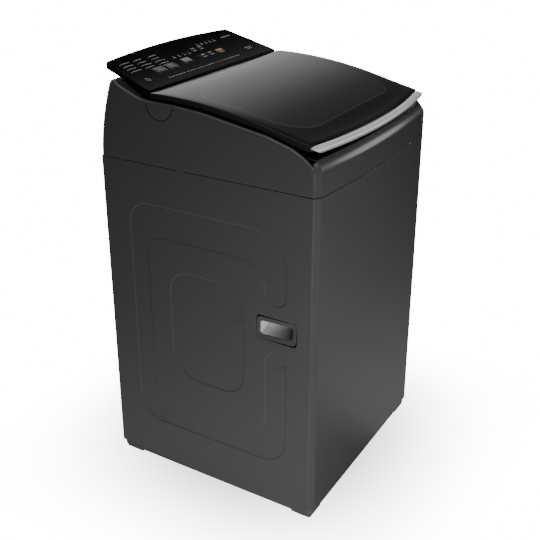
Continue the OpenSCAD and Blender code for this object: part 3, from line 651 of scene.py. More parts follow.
def pressedSide(levels):
    # the flat side, with each pressed outline carried through a smooth step of the press depth
    c = cabinet
    edge, depth = c["pressEdge"], c["pressDepth"]
    def place(y, z, x):
        return np.stack([np.broadcast_to(x, np.shape(y)), y, z], -1)
    border = np.array([(c["flatBack"], z) for z in levels[::-1]] + [(c["flatFront"], z) for z in levels])
    holes, parts = [], []
    for loop in (pressLoop(), pressPad()):
        normal = inward(loop)
        rings = []
        for share in np.linspace(0, 1, 7):
            ring = loop + normal * ((share - 0.5) * edge)
            sunk = depth * float(smoothStep(0, 1, share))
            rings.append(place(ring[:, 0], ring[:, 1], -c["halfWidth"] + sunk))
        parts.append(grid(np.array(rings), False, True))
        where, faces = fillLoops([loop + normal * (edge / 2)], (40, 40), 8)
        parts.append((place(where[:, 0], where[:, 1], -c["halfWidth"] + depth), faces))
        holes.append(loop - normal * (edge / 2))
    where, faces = fillLoops([border] + holes + [gripHole], (40, 40), 8)
    parts.append((place(where[:, 0], where[:, 1], -c["halfWidth"]), faces))
    return [facing(p, towards(-1.0, 0, 0)) for p in parts]


def cabinetSkin():
    # the plan carried up through the levels: its bow grows straight with height, and both ends
    # tuck in by scaling; then the flat sides, the back corners and the strips of the back
    c = cabinet
    low, high = c["bottom"], c["seam"] - 0.6
    levels = np.concatenate([[low, low + 1.5, low + 5], np.linspace(60, 760, 15),
                             [c["seam"] - 5, c["seam"] - 1.8, high]])
    tuck = np.interp(levels, [low, low + 1.5, c["seam"] - 1.8, high], [1.0, 0, 0, 0.9])
    rows = []
    for z, t in zip(levels, tuck):
        plan = cornerToCorner(c["bow"] * (z - c["bottom"]) / (c["seam"] - c["bottom"]))
        plan = np.concatenate([[(-c["halfWidth"], c["flatFront"])], plan, [(c["halfWidth"], c["flatFront"])]])
        shrink = np.array([1 - t / c["halfWidth"], 1 - t / c["halfDepth"]])
        plan = plan * shrink if t else plan
        rows.append(atHeight(plan, z))
    middle = (0, 0, 400)
    parts = [facing(grid(np.array(rows)), middle)]
    # back corners with their folded flanges
    turn = np.linspace(0, math.pi / 2, 7)
    r, w, d = c["backRadius"], c["halfWidth"], c["halfDepth"]
    bend = np.stack([-w + r - r * np.cos(turn), d - r + r * np.sin(turn)], 1)
    back = np.concatenate([[(-w, c["flatBack"])], bend, [(-w + c["flange"], d)]])
    flange = facing(grid(np.array([atHeight(back, z) for z in levels])), middle)
    parts += [flange, flipX(flange)]
    # strips across the back above and below the panel
    across = np.linspace(-w + c["flange"], w - c["flange"], 3)
    line = np.stack([across, np.full(3, d)], 1)
    for z0, z1 in ((low, low + 12), (c["seam"] - 12, high)):
        parts.append(facing(grid(np.array([atHeight(line, z0), atHeight(line, z1)])), middle))
    side = pressedSide(levels)
    parts += side + [flipX(p) for p in side]
    return buildPiece("cabinetSkin", parts, graphitePaint, "cabinet", ["cabinet_shell"],
                      merge=0.05, wall=c["sheet"], angle=50, weighted=True)


cabinetSkin()
print("cabinet skin ready")


# top cover

cover = {"foot": 794.6, "crease": 850.0, "frontRise": 17.0, "frontLedge": 15.0, "sideLedge": 9.0,
         "backLedge": 27.0, "lean": 36.0, "topFillet": 5.0, "backRadius": 12.0, "wall": 3.0, "backTop": 969.0}
edgeY = [-300, -276, -262, -250, -235, -212, -157, -102, 2, 70, 139, 160, 200, 236, 260]
edgeZ = [850, 850, 853, 866, 876, 887, 903, 912, 929, 934, 935.5, 939, 955.5, 969, 970]


def smoothEdge(y):
    # height of the side edge: straight pieces between the listed points, averaged over 16 mm
    y = np.asarray(y, float)
    return sum(np.interp(y + k, edgeY, edgeZ) for k in (-8, -4, 0, 4, 8)) / 5


def coverSkin():
    # a closed plan loop carried up the wall, round the edge and over the ledge: each row draws
    # the loop in by an inset and lifts it; the back leans forward by lean * share^1.7
    c = cover
    w, d = cabinet["halfWidth"], cabinet["halfDepth"]
    half = halfPlan(cabinet["bow"], 7, 20)
    sideY = np.linspace(222, -255, 80)
    turn = np.linspace(0, math.pi / 2, 7)
    r = c["backRadius"]
    back = np.stack([np.linspace(0, -w + r, 12)[:-1], np.full(11, d)], 1)
    bend = np.stack([-w + r - r * np.sin(turn), d - r + r * np.cos(turn)], 1)
    low = np.stack([np.full(6, -w), np.linspace(d - r, 222, 7)[1:]], 1)
    side = np.stack([np.full(len(sideY) - 1, -w), sideY[1:]], 1)
    left = np.concatenate([back, bend, low, side, half])
    ring = np.concatenate([left, (left[1:-1] * np.array([-1, 1]))[::-1]])
    normal = inward(ring)
    x, y = ring[:, 0], ring[:, 1]
    lean = c["lean"] * smoothStep(205, d, y)
    # how far round the front corner a point is: 0 on the side, 1 on the front
    front = smoothStep(-258, -277, y)
    topZ = smoothEdge(y) * (1 - front) + c["crease"] * front
    topZ = np.where(y > 200, np.minimum(topZ, c["backTop"]), topZ)
    ledge = c["sideLedge"] + c["backLedge"] * np.clip((y - 139) / 97, 0, 1)
    ledge = ledge * (1 - front) + c["frontLedge"] * front
    ledge = np.where(y > d - r, c["sideLedge"] + c["backLedge"] * np.abs(normal[:, 0]), ledge)
    rise = 1 + (c["frontRise"] - 1) * front
    fillet = c["topFillet"] + 3 * front
    rows = []
    def row(inset, z, share):
        p = ring + normal * np.asarray(inset, float).reshape(-1, 1)
        rows.append(np.column_stack([p[:, 0], p[:, 1] - lean * share ** 1.7, np.broadcast_to(z, len(x))]))
    height = topZ - c["foot"]
    for inset, up in ((c["wall"], 0), (1.0, 0), (0.3, 0.3), (0, 1.2)):
        row(inset, c["foot"] + up, 0)
    for share in np.linspace(0.08, 1, 14):
        z = c["foot"] + (height - fillet) * share
        row(0, z, (z - c["foot"]) / height)
    for angle in np.linspace(0, math.pi / 2, 7)[1:]:
        # quarter turn from upright to the slope of the ledge
        tilt = rise / ledge * fillet * (1 - math.cos(angle))
        row(fillet * (1 - math.cos(angle)), topZ - fillet + fillet * math.sin(angle) + tilt, 1)
    edgeRow = len(rows) - 1
    for share in (0.35, 0.7, 0.93, 1.0):
        inset = fillet + (ledge - fillet) * share
        row(inset, topZ + rise * inset / ledge - (0.4 if share == 1 else 0), 1)
    ledgeEnd = len(rows)
    # down the inside of the wall, which stops short of the foot
    row(ledge + 0.3, topZ + rise - 1.2, 1)
    row(ledge + 0.3, topZ + rise - 3.5, 1)
    row(np.minimum(ledge, c["sideLedge"]), topZ + rise - 6.5, 1)
    row(c["wall"], topZ - 9, 0.9)
    row(c["wall"], c["foot"] + height * 0.4, 0.4)
    points, faces = grid(np.array(rows), True, True)
    # the paint ends at the rounded edge on the sides and runs on over the front lip
    level = np.repeat(np.arange(len(rows)), len(x))
    dark = (level >= edgeRow) & (np.tile(front, len(rows)) < 0.5) | (level >= ledgeEnd)
    return buildPiece("coverSkin", [(points, faces, dark.astype(int))], [coverPaint, deckBlack], "cabinet",
                      ["top_cover"], recalc=True, angle=50, weighted=True)


coverSkin()


disc = {"y": 105.0, "z": 932.0, "groove": ((36.0, -279.7), (35.8, -279.85), (33.4, -279.85), (33.2, -279.7)),
        "face": ((33.3, -279.7), (32.9, -279.88), (32.0, -279.96), (20, -279.98), (0.01, -279.98))}


def hingeDiscs():
    # half disc below the cover's edge with a fine dark groove round it, its black painted shade in place of a
    # deeper recess:
    # half circles of the listed radii, each at its own x
    a = np.linspace(math.pi, 2 * math.pi, 33)
    def arcs(steps):
        rows = []
        for r, x in steps:
            rows.append(np.stack([np.full(33, x), disc["y"] + r * np.cos(a), disc["z"] + r * np.sin(a)], 1))
        return facing(grid(np.array(rows)), towards(-1.0, 0, 0))
    groove, face = arcs(disc["groove"]), arcs(disc["face"])
    for side, turned in (("Left", False), ("Right", True)):
        g, p = (flipX(groove), flipX(face)) if turned else (groove, face)
        # material 1, the black trim of the groove ring, is painted shade
        buildPiece("hingeDisc" + side, [(*g, 1), (*p, 0)], [coverPaint, trimBlack], "cabinet",
                   ["hinge_cap_" + side.lower()], merge=0, angle=None)


hingeDiscs()
print("top cover ready")


# console

panel = {"frontY": 142.0, "frontZ": 953.0, "rise": 0.321, "sag": 16.0, "depth": 137.0, "under": 944.5,
         "underRise": 0.3134, "halfFront": 264.0, "halfBack": 240.0, "backY": 279.0, "backBow": 12.0,
         "rim": 4.5, "radius": 2.6, "softHole": 0.35, "print": 0.12, "lift": 4.8}
panelTilt = math.atan(panel["underRise"])


def panelTop(y):
    # straight rise from the front edge less a shallow parabolic hollow
    t = (np.asarray(y, float) - panel["frontY"]) / panel["depth"]
    return panel["frontZ"] + panel["rise"] * (y - panel["frontY"]) - panel["sag"] * t * (1 - t)


def panelUnder(y):
    # straight rise of the underside
    return panel["under"] + panel["underRise"] * (np.asarray(y, float) - panel["frontY"])


def panelThick(y):
    # from the underside to the top, square to the slope
    return float(panelTop(y) - panelUnder(y)) * math.cos(panelTilt)


def overPanel(loop, h):
    # a plan loop lifted to h over the panel's top
    return np.column_stack([loop, panelTop(loop[:, 1]) + h])


def underPanel(loop, h):
    # a plan loop lifted to h over the panel's underside
    return np.column_stack([loop, panelUnder(loop[:, 1]) + h])


def onPanel(x, y):
    # place(p, q, h) for a flat piece that stands on the panel at x, y
    cosine, sine = math.cos(panelTilt), math.sin(panelTilt)
    base = float(panelUnder(y))
    def place(p, q, h):
        return np.stack([x + p, y + q * cosine - h * sine, base + q * sine + h * cosine], -1)
    return place


def panelOutline():
    # straight front and sides; the back edge bows out by backBow (1 - (x / half)^2)
    p = panel
    x = np.linspace(p["halfBack"], -p["halfBack"], 25)
    back = np.stack([x, p["backY"] + p["backBow"] * (1 - (x / p["halfBack"]) ** 2)], 1)
    points = [(-p["halfFront"], p["frontY"]), (p["halfFront"], p["frontY"])] + [tuple(v) for v in back]
    return roundCorners(points, [4, 4, 9] + [0] * 23 + [9], 7)


keys = {
    "level_key": {"node": "key_level", "at": (-140, 208), "size": (36, 21)},
    "programme_key": {"node": "key_programme", "at": (-96, 209), "size": (34, 21)},
    "rinse_key": {"node": "key_rinse", "at": (35, 243), "size": (17, 9.5)},
    "soak_key": {"node": "key_soak", "at": (65, 243), "size": (17, 9.5)},
    "spin_key": {"node": "key_spin", "at": (35, 212), "size": (19, 10)},
    "power_key": {"node": "key_power", "at": (66, 213), "size": (19, 10)},
    "start_key": {"node": "key_start", "at": (106, 212), "size": (26, 12)}}
displayPlace = {"at": (-31, 213.5), "size": (30, 18)}


def openingLoop(at, size, gap):
    # a rounded rectangle on the slope seen from above: its depth shrinks by the cosine, and it
    # moves forward by its lift over the underside times the sine
    w, h = size[0] / 2 + gap, size[1] / 2 + gap
    loop = roundedRect(-w, w, -h, h, 2 + gap, 5)
    shift = panel["lift"] * math.sin(panelTilt)
    return np.stack([at[0] + loop[:, 0], at[1] - shift + loop[:, 1] * math.cos(panelTilt)], 1)


def consolePanel():
    # a curved sheet with an opening for each key and for the display: its edge and the lips of
    # the openings are quarter rounds, and the sheet between them fills the loops
    p = panel
    outline = panelOutline()
    holes = [openingLoop(k["at"], k["size"], 0.5) for k in keys.values()]
    holes.append(openingLoop(displayPlace["at"], displayPlace["size"], 0.3))
    normal = inward(outline)
    # the rim hangs below the panel's underside except along the front, and is grooved half way
    lower = p["rim"] * smoothStep(p["frontY"] + 1, p["frontY"] + 14, outline[:, 1])
    levels = [(3, 0.2)] + [(t, h - lower) for t, h in ((2.6, 0.4), (1.0, 0), (0.2, 0.5), (0, 1.2))]
    levels += [(0, 0.9), (0.5, 1.2), (0.5, 1.7), (0, 2.0)]
    rows = [np.column_stack([outline + normal * t, panelUnder(outline[:, 1]) + h]) for t, h in levels]
    for a in np.linspace(0, math.pi / 2, 6):
        q = outline + normal * (p["radius"] * (1 - math.cos(a)))
        rows.append(overPanel(q, -p["radius"] * (1 - math.sin(a))))
    parts, inner = [grid(np.array(rows), False, True)], []
    for hole in holes:
        away, soft = inward(hole), p["softHole"]
        rows = [overPanel(hole - away * (soft * (1 - a)), -soft * a * a) for a in (0.0, 0.5, 1.0)]
        parts.append(grid(np.array(rows + [overPanel(hole, -4.0)]), False, True))
        inner.append(hole - away * soft)
    where, faces = fillLoops([outline + normal * p["radius"]] + inner, (9, 6), 2.2)
    parts.append(facing((overPanel(where, 0), faces), towards(0.0, -0.3, 1)))
    # floor under the openings, seen as darkness round the keys
    where, faces = fillLoops([outline + normal * 3])
    parts.append(facing((underPanel(where, 0.2), faces), towards(0.0, 0.3, -1)))
    return buildPiece("consolePanel", parts, pianoBlack, "cabinet", ["console_panel"],
                      recalc=True, angle=40)


consolePanel()


def stripOn(loopOuter, loopInner, place, low, high):
    # thin raised frame between two outlines, used for printed borders
    rings = [place(q[:, 0], q[:, 1], np.full(len(q), h)) for q, h in
             ((loopOuter, low), (loopOuter, high), (loopInner, high), (loopInner, low))]
    return grid(np.array(rings), True, True)


def makeKeys():
    # each cap is a slab with rounded corners that stands 0.5 over the panel, with printed bars
    for body, k in keys.items():
        w, h = k["size"][0] / 2, k["size"][1] / 2
        place = onPanel(*k["at"])
        top = panelThick(k["at"][1]) + 0.5
        parts = [(*tiltedSlab(roundedRect(-w, w, -h, h, 2, 5), place, 1.4, top, 0.7, 0.15), 0)]
        bars = [roundedRect(3.4 - w, w - 3.4, -1.0, 1.0, 0.4, 3)]
        if w > 15:
            outer = roundedRect(1.2 - w, w - 1.2, 1.2 - h, h - 1.2, 1.6, 5)
            inner = roundedRect(2.0 - w, w - 2.0, 2.0 - h, h - 2.0, 1.0, 5)
            parts.append((*stripOn(outer, inner, place, top - 0.1, top + panel["print"]), 1))
            bars = [roundedRect(6 - w, w - 6 - cut, y - 1, y + 1, 0.4, 3) for y, cut in ((-3.2, 0), (3.2, 4))]
        for bar in bars:
            parts.append((*tiltedSlab(bar, place, top - 0.1, top + 0.2, 0.05), 1))
        orange = body == "start_key"
        buildPiece(k["node"] + "Cap", parts, [keyOrange if orange else keyBlack, printWhite], body,
                   [k["node"]], recalc=True)


makeKeys()


digitBars = ((0, 5, 4, 0.8), (0, 0, 4, 0.8), (0, -5, 4, 0.8), (-2.5, 2.5, 0.8, 3.8), (2.5, 2.5, 0.8, 3.8),
             (-2.5, -2.5, 0.8, 3.8), (2.5, -2.5, 0.8, 3.8))


def displayGlass():
    # a rounded window with three unlit digits of seven bars, each bar (x, y, width, height)
    place = onPanel(*displayPlace["at"])
    w, h = displayPlace["size"][0] / 2, displayPlace["size"][1] / 2
    top = panelThick(displayPlace["at"][1]) - 0.05
    parts = [(*tiltedSlab(roundedRect(-w, w, -h, h, 1.6, 5), place, 0.8, top, 0.3), 0)]
    for middle in (-8.4, 0.0, 8.4):
        for dx, dy, bw, bh in digitBars:
            x = middle + dx
            bar = roundedRect(x - bw / 2, x + bw / 2, dy - bh / 2, dy + bh / 2, 0.25, 3)
            parts.append((*tiltedSlab(bar, place, top - 0.1, top + panel["print"], 0.05), 1))
    buildPiece("displayGlass", parts, [displayGrey, partGrey], "cabinet", ["display_window"],
               recalc=True)


displayGlass()

# three columns of four, five over the right keys and four over the display
lampSpots = [(x, 224 + 11 * j) for x in (-219, -170, -119) for j in range(4)] + \
    [(69 + 18 * i, 255) for i in range(5)] + [(-52 + 20 * i, 237) for i in range(4)]


def lampLenses():
    # a small round slab at each spot
    parts = []
    for x, y in lampSpots:
        parts.append(tiltedSlab(circleLoop(0, 0, 1.5, 16), onPanel(x, y), 0.7, panelThick(y) + 0.1, 0.3, 0.2))
    buildPiece("lampLenses", parts, printWhite, "cabinet", ["indicator_lights"], recalc=True)


lampLenses()


def mark(x, y, w, h, radius=0.4):
    # a printed bar lying on the curved panel: outline points lifted to the panel's own height
    loop = roundedRect(x - w / 2, x + w / 2, y - h / 2, y + h / 2, min(radius, w / 2.1, h / 2.1), 3)
    return ringStack(np.array([overPanel(loop, -0.2), overPanel(loop, panel["print"])]))


def panelPrint():
    # generic printing: short bars beside the lamps, small signs, and a row of bars along the front
    rng = np.random.default_rng(5)
    white, orange = [], []
    for x in (-219, -170, -119):
        for j in range(4):
            length = float(rng.uniform(22, 34))
            start = x + 5
            while length > 4:
                piece = min(length, float(rng.uniform(5, 11)))
                white.append(mark(start + piece / 2, 224 + 11 * j, piece - 1.6, 1.9))
                start, length = start + piece, length - piece
    under = [(69 + 18 * i, 248, 9) for i in range(5)] + [(-52 + 20 * i, 229.5, 9) for i in range(4)]
    under += [(35, 233, 14), (65, 233, 14), (35, 202, 15), (66, 203, 15), (106, 201, 20)]
    white += [mark(x, y, w, 1.8) for x, y, w in under]
    start = -158.0
    for length in (16, 34, 30, 22, 34, 26, 30, 22):
        piece = start
        words = orange if abs(length - 26) < 1 else white
        words.append(mark(piece + 2, 167.5, 3.4, 3.4, 1.7))
        piece += 6
        while piece < start + length:
            w = float(rng.uniform(5, 10))
            words.append(mark(piece + w / 2, 167.5, w - 1.6, 1.7))
            piece += w
        start += length + 10
    # plain ring sign near the front left corner
    sides = ((6.5, -0.2), (6.5, panel["print"]), (5.4, panel["print"]), (5.4, -0.2))
    rings = [overPanel(circleLoop(-212, 184, radius, 28), h) for radius, h in sides]
    white.append(grid(np.array(rings), True, True))
    for spot in ((-212, 184, 4.4, 1.4), (196, 252, 44, 2.0), (202, 188, 30, 2.0), (202, 181, 22, 1.6)):
        white.append(mark(*spot))
    parts = [(*p, 0) for p in white] + [(*p, 1) for p in orange]
    buildPiece("panelPrint", parts, [printWhite, printOrange], "cabinet", (), recalc=True,
               merge=0)


panelPrint()


neck = {"half": 262, "taper": 0.252, "radii": [0, 1, 2, 6, 3, 0],
        "section": [(142.3, 901), (142.3, 944.6), (275, 986.0), (247, 973.4), (229.5, 970.9), (229.5, 901)],
        "rings": ((-1, 1.2), (-0.995, 0.35), (-0.98, 0), (0, 0), (0.98, 0), (0.995, 0.35), (1, 1.2))}


def consoleNeck():
    # black housing under the panel: its section in y and z is carried across, its half width
    # less by taper times y; each ring is (share of the half width, inset)
    section = roundCorners(neck["section"], neck["radii"], 5)
    half = neck["half"] - (section[:, 0] - 142) * neck["taper"]
    normal = inward(section)
    rings = [np.column_stack([share * half, section + normal * t]) for share, t in neck["rings"]]
    buildPiece("consoleNeck", [ringStack(np.array(rings))], trimBlack, "cabinet", ["console_body"],
               recalc=True)


consoleNeck()
print("console ready")


# lid

lid = {"half": 268.0, "rear": 137.0, "length": 399.0, "radius": 2.2, "glass": 4.0, "frame": 11.0,
       "crown": 2.5, "inner": (-250, 25), "outer": (-268, 24), "notch": (222, 258), "notchFrom": 84}
lidY = [-292, -275, -252, -230, -201, -165, -130, -94, -57, -19, 19, 55, 91, 137]
lidZ = [890.5, 892.5, 895.5, 900, 906.5, 915.5, 924, 931.5, 938, 943.2, 947.2, 949.8, 951.2, 950.6]
lidFit = np.polynomial.Polynomial.fit(lidY, lidZ, 5)


def lidTop(x, y):
    # fifth-degree curve through the lid's edge heights plus a small parabolic crown across
    crown = lid["crown"] * (1 - (np.asarray(x) / lid["half"]) ** 2)
    return lidFit(y) + crown * smoothStep(-300, -200, y) * smoothStep(137, 60, y)


def stripEdge(x, edge):
    # y of an edge of the strip: its end less bow (1 - (x / half)^2)
    end, bow = lid[edge]
    return end - bow * (1 - (np.asarray(x) / lid["half"]) ** 2)


def edgeRamp(count, radius, total):
    # distances from an edge: dense through the rounded part, then even
    turn = np.linspace(0, math.pi / 2, 6)
    return np.concatenate([radius * (1 - np.cos(turn)), np.linspace(radius, total / 2, count)[1:]])


def drop(distance, radius):
    # height lost near a rounded edge: r - sqrt(r^2 - (r - d)^2)
    d = np.clip(radius - distance, 0, radius)
    return radius - np.sqrt(np.maximum(radius ** 2 - d ** 2, 0))


def lidPanel():
    # a grid across and along the lid, its front row on the strip's inner edge; the top falls
    # away near all four sides as drop() says
    c = lid
    r, total = c["radius"], c["length"]
    across = edgeRamp(16, r, 2 * c["half"])
    x = np.concatenate([-c["half"] + across, (c["half"] - across)[::-1][1:]])
    share = edgeRamp(18, r, total) / total
    share = np.concatenate([share, 1 - share[::-1][1:]])
    X = np.broadcast_to(x, (len(share), len(x)))
    Y = c["rear"] + (stripEdge(X, "inner") + 0.4 - c["rear"]) * share[:, None]
    sideFall = drop(np.minimum(X + c["half"], c["half"] - X), r)
    endFall = drop(np.minimum(share, 1 - share)[:, None] * total, r)
    top = np.stack([X, Y, lidTop(X, Y) - np.maximum(sideFall, endFall)], -1)
    low = np.stack([X, Y, lidTop(X, Y) - c["glass"]], -1)
    edge = lambda a: np.concatenate([a[0], a[1:, -1], a[-1, ::-1][1:], a[::-1, 0][1:-1]])
    parts = [facing(grid(top), towards(0, 0, 1.0)), facing(grid(low), towards(0, 0, -1.0)),
             grid(np.array([edge(top), edge(low)]), False, True)]
    return buildPiece("lidPanel", parts, lidTint, "lid", ["lid_glass"], recalc=True, angle=60)


lidPanel()


def lidFramePiece():
    # skirt under the panel: a band along the lid's outline, from the panel's underside down,
    # pulled in slightly towards its lower edge, with a wide flange inside
    c = lid
    side, back = c["half"] - 0.6, c["rear"] - 0.6
    x = np.linspace(-side, side, 41)
    y = np.linspace(-249, back, 30)
    # extra points at the ends of the two notches over the hinge brackets
    near, far = c["notch"]
    ends = np.array([near - 0.4, near + 0.6, far - 0.7, far + 0.3])
    along = np.sort(np.concatenate([x, ends, -ends]))[::-1]
    loop = np.concatenate([np.stack([x, stripEdge(x, "inner") + 1.2], 1),
                           np.stack([np.full(30, side), y], 1)[1:],
                           np.stack([along, np.full(len(along), back)], 1)[1:],
                           np.stack([np.full(30, -side), y[::-1]], 1)[1:-1]])
    normal = inward(loop)
    glass, deep = c["glass"], c["glass"] + c["frame"]
    # the flange grows narrow at the back to clear the hinge brackets
    hinge = smoothStep(72, 84, loop[:, 1])
    width = 46 * (1 - hinge) + 9 * hinge
    across = np.abs(loop[:, 0])
    notch = (across > near) & (across < far) & (loop[:, 1] > c["notchFrom"])
    rows = []
    for inset, down in ((0, glass), (0, glass + 4), (0.5, deep - 2.5), (1.2, deep - 0.8), (2.6, deep),
                        (width * 0.5, deep), (width - 1, deep - 0.2), (width, deep - 1.2), (width, glass)):
        q = loop + normal * np.asarray(inset, float).reshape(-1, 1)
        lower = np.where(notch, min(down, glass + 0.6), down)
        rows.append(np.column_stack([q, lidTop(q[:, 0], q[:, 1]) - lower]))
    return buildPiece("lidSkirt", [grid(np.array(rows), True, True)], trimBlack, "lid", ["lid_frame"],
                      recalc=True, angle=50)


lidFramePiece()


ear = {"y": 108, "z": 938,
       "profile": ((257.6, 4.0), (257.6, 7.2), (258.4, 8.0), (266.0, 8.0), (266.8, 7.2), (266.8, 0.5))}


def lidEars():
    # two ears that carry the hinge pins: circles of the profile's (x, radius), axis along x
    parts = []
    a = np.linspace(0, 2 * math.pi, 40, endpoint=False)
    for side in (-1, 1):
        rows = []
        for x, r in ear["profile"]:
            y, z = ear["y"] + r * np.cos(a), ear["z"] + r * np.sin(a)
            rows.append(np.stack([np.full(40, side * x), y, z], 1))
        parts.append(grid(np.array(rows), False, True))
    buildPiece("lidEars", parts, trimBlack, "lid", (), recalc=True)


lidEars()


strip = {"rings": 61, "around": 24, "power": 0.55, "halfHeight": 5.6, "below": 6.0, "rim": (12, 21)}


def handleStrip():
    # bright grip: a rounded section carried along the bowed front, its depth following the
    # two bow curves and its ends drawn in
    half, count, around = lid["half"], strip["rings"], strip["around"]
    x = np.linspace(-half + 0.5, half - 0.5, count)[:, None]
    a = np.linspace(0, 2 * math.pi, around, endpoint=False)
    # superellipse section: |cos|^power and |sin|^power with their signs
    across = np.sign(np.cos(a)) * np.abs(np.cos(a)) ** strip["power"]
    upward = np.sign(np.sin(a)) * np.abs(np.sin(a)) ** strip["power"]
    near, far = stripEdge(x, "outer"), stripEdge(x, "inner")
    Y = (near + far) / 2 + (far - near) / 2 * across
    halfHeight = strip["halfHeight"] * np.minimum(1, 1.02 - np.abs(x / half) ** 60)
    Z = lidTop(x, np.maximum(Y, -292)) - strip["below"] + halfHeight * upward
    points, faces = ringStack(np.stack([np.broadcast_to(x, Y.shape), Y, Z], -1))
    # the rounded front rim and both end caps are polished, the broad top satin
    column = np.arange(len(faces)) % around
    rim = (column >= strip["rim"][0]) & (column < strip["rim"][1]) & (np.arange(len(faces)) < around * count)
    rim[len(faces) - 2 * around:] = True
    buildPiece("handleStrip", [(points, faces, rim.astype(int))], [brightStrip, polishedRim], "lid",
               ["lid_handle_strip"], recalc=True, angle=60)


handleStrip()
print("lid ready")


# hand grips

grip = {"low": 447.0, "high": 504.0, "back": -133.0, "front": -232.0, "deep": 36.0}


def handGrips():
    # a framed mouth whose inside is a cup; the floor of the cup is a quarter-round scoop
    low, high, back, front, deep = (grip[key] for key in ("low", "high", "back", "front", "deep"))
    outer = roundCorners([(front + 3, low + 3), (back, low), (back - 1, high - 3), (front, high)], [9] * 4, 6)
    mouth = roundCorners([(front + 12, low + 14), (back - 8, low + 11), (back - 9, high - 14),
                          (front + 10, high - 12)], [7] * 4, 6)
    def ring(loop, x):
        return np.column_stack([np.full(len(loop), x), loop])
    normalOuter, normalMouth = inward(outer), inward(mouth)
    lip, throat = outer + normalOuter * 1.4, mouth - normalMouth * 2.4
    rings = [ring(outer, -278.5), ring(outer, -279.6), ring(outer + normalOuter * 0.5, -279.95)]
    rings.append(ring(lip, -280.0))
    rings += [ring(lip + (throat - lip) * share, -280.0 + 1.6 * share) for share in (0.35, 0.7)]
    rings += [ring(throat, -278.6), ring(mouth - normalMouth * 1.0, -278.2), ring(mouth, -277.2)]
    centre = mouth.mean(0)
    for depth, shrink in ((8, 0.99), (16, 0.98), (24, 0.97), (30, 0.95), (34, 0.90), (deep, 0.80)):
        inner = centre + (mouth - centre) * shrink
        # the floor climbs as a quarter circle towards the back of the cup
        floor = low + 13 + 17 * (1 - math.sqrt(max(0, 1 - (depth / deep) ** 2)))
        inner[:, 1] = np.maximum(inner[:, 1], floor)
        rings.append(ring(inner, -277.2 + depth))
    part = ringStack(np.array(rings), False, True)
    # the cup inside the ninth ring is silver, with painted shade darkening it towards the front end
    part = (*part, (np.arange(len(part[1])) // len(mouth) >= 8).astype(int))
    ends = [ring(outer, -278.5), ring(centre + (outer - centre) * 0.9, -240.0)]
    shell = ringStack(np.array(ends), False, True)
    for side, turned in (("Left", False), ("Right", True)):
        items = [flipX(p) if turned else p for p in (part, shell)]
        buildPiece("handGrip" + side, items, [gripGrey, scoopSilverPaintedShade], "cabinet",
                   ["side_handle_" + side.lower()], recalc=True)


handGrips()


# base and feet

plinth = {"halfWidth": 275.0, "halfDepth": 271.0, "hole": 200, "sheet": (12.2, 16.0),
          "profile": ((0, 40), (0, 14), (0.6, 12.4), (2, 12), (6, 12), (6, 40)),
          "foot": ((0, 13), (0.2, 6), (0.9, 4.4), (2.0, 4.0)), "pad": ((0, 4.2), (0, 1), (1, 0)),
          "padsAt": ((-244, -242), (-244, 242), (244, 242))}


def basePlinth():
    # plinth ring, inset from the sheet, with four corner feet that taper to their soles and
    # three pads; a profile is a list of (inset, height)
    def profiled(loop, profile):
        normal = inward(loop)
        return np.array([atHeight(loop + normal * t, z) for t, z in profile])
    w, d = plinth["halfWidth"], plinth["halfDepth"]
    route = [(-w, -d + 8), (-w + 11, -d), (w - 11, -d), (w, -d + 8), (w, d), (-w, d)]
    loop = roundCorners(route, [4, 4, 4, 4, 6, 6], 4)
    hole = circleLoop(0, 0, plinth["hole"], 64)
    parts = [grid(profiled(loop, plinth["profile"]), True, True)]
    where, faces = fillLoops([loop + inward(loop) * 6, hole])
    parts += [(atHeight(where, z), faces) for z in plinth["sheet"]]
    parts.append(grid(np.array([atHeight(hole, z) for z in plinth["sheet"]]), False, True))
    for x0, x1 in ((-272, -216), (216, 272)):
        for y0, y1 in ((-269, -216), (216, 269)):
            parts.append(ringStack(profiled(roundedRect(x0, x1, y0, y1, 5, 4), plinth["foot"])))
    buildPiece("basePlinth", parts, baseBlack, "cabinet", ["base_frame"], recalc=True)
    pads = []
    for x, y in plinth["padsAt"]:
        pads.append(ringStack(profiled(roundedRect(x - 24, x + 24, y - 22, y + 22, 7, 5), plinth["pad"])))
    buildPiece("footPads", pads, rubberBlack, "cabinet", ["foot_pads"], recalc=True)


basePlinth()
print("base ready")


# floor, light, camera

studio = {
    "floorGlow": ((0.72, 0.45), (0.20, 0.95)), "dark": 0.008, "white": 16.0, "shadow": 3.1,
    "shadowIn": -0.25, "shadowOut": 0.36, "footprint": 0.27, "underHalf": 0.262, "underShade": 0.985,
    "contactShadow": 0.85, "shadeLane": ((-0.25, -0.97, 0), 42, 14, 0.8),
    "glows": [  # direction, angle where it ends, angle where it is full, strength
        ((0.495, 0.857, 0.10), 50, 12, 0.95), ((0.84, -0.50, 0.17), 13, 4, 2.6),
        ((-0.15, -0.1, 1.0), 45, 4, 0.8)],
    "boxes": [  # name, place, aim, size, power, whether it shows in reflections
        ("overheadSoftbox", (0.15, -0.25, 2.9), (0, -0.05, 0.9), (1.0, 1.0), 26, False),
        ("lowCornerSoftbox", (-1.2, -1.2, 0.25), (-0.25, -0.25, 0.40), (0.8, 0.8), 46, False),
        ("rightSoftbox", (3.2, 0.6, 0.3), (0.2, 0, 0.45), (1.1, 1.1), 75, True),
        ("rearSoftbox", (0.3, 3.4, 1.3), (0, 0.2, 0.5), (1.6, 1.6), 90, True)]}


def rampNode(tree, value, low, high):
    # smooth step from 0 at low to 1 at high
    ramp = tree.nodes.new("ShaderNodeMapRange")
    ramp.interpolation_type = "SMOOTHSTEP"
    link(tree, value, ramp.inputs["Value"])
    ramp.inputs["From Min"].default_value, ramp.inputs["From Max"].default_value = low, high
    return ramp.outputs[0]


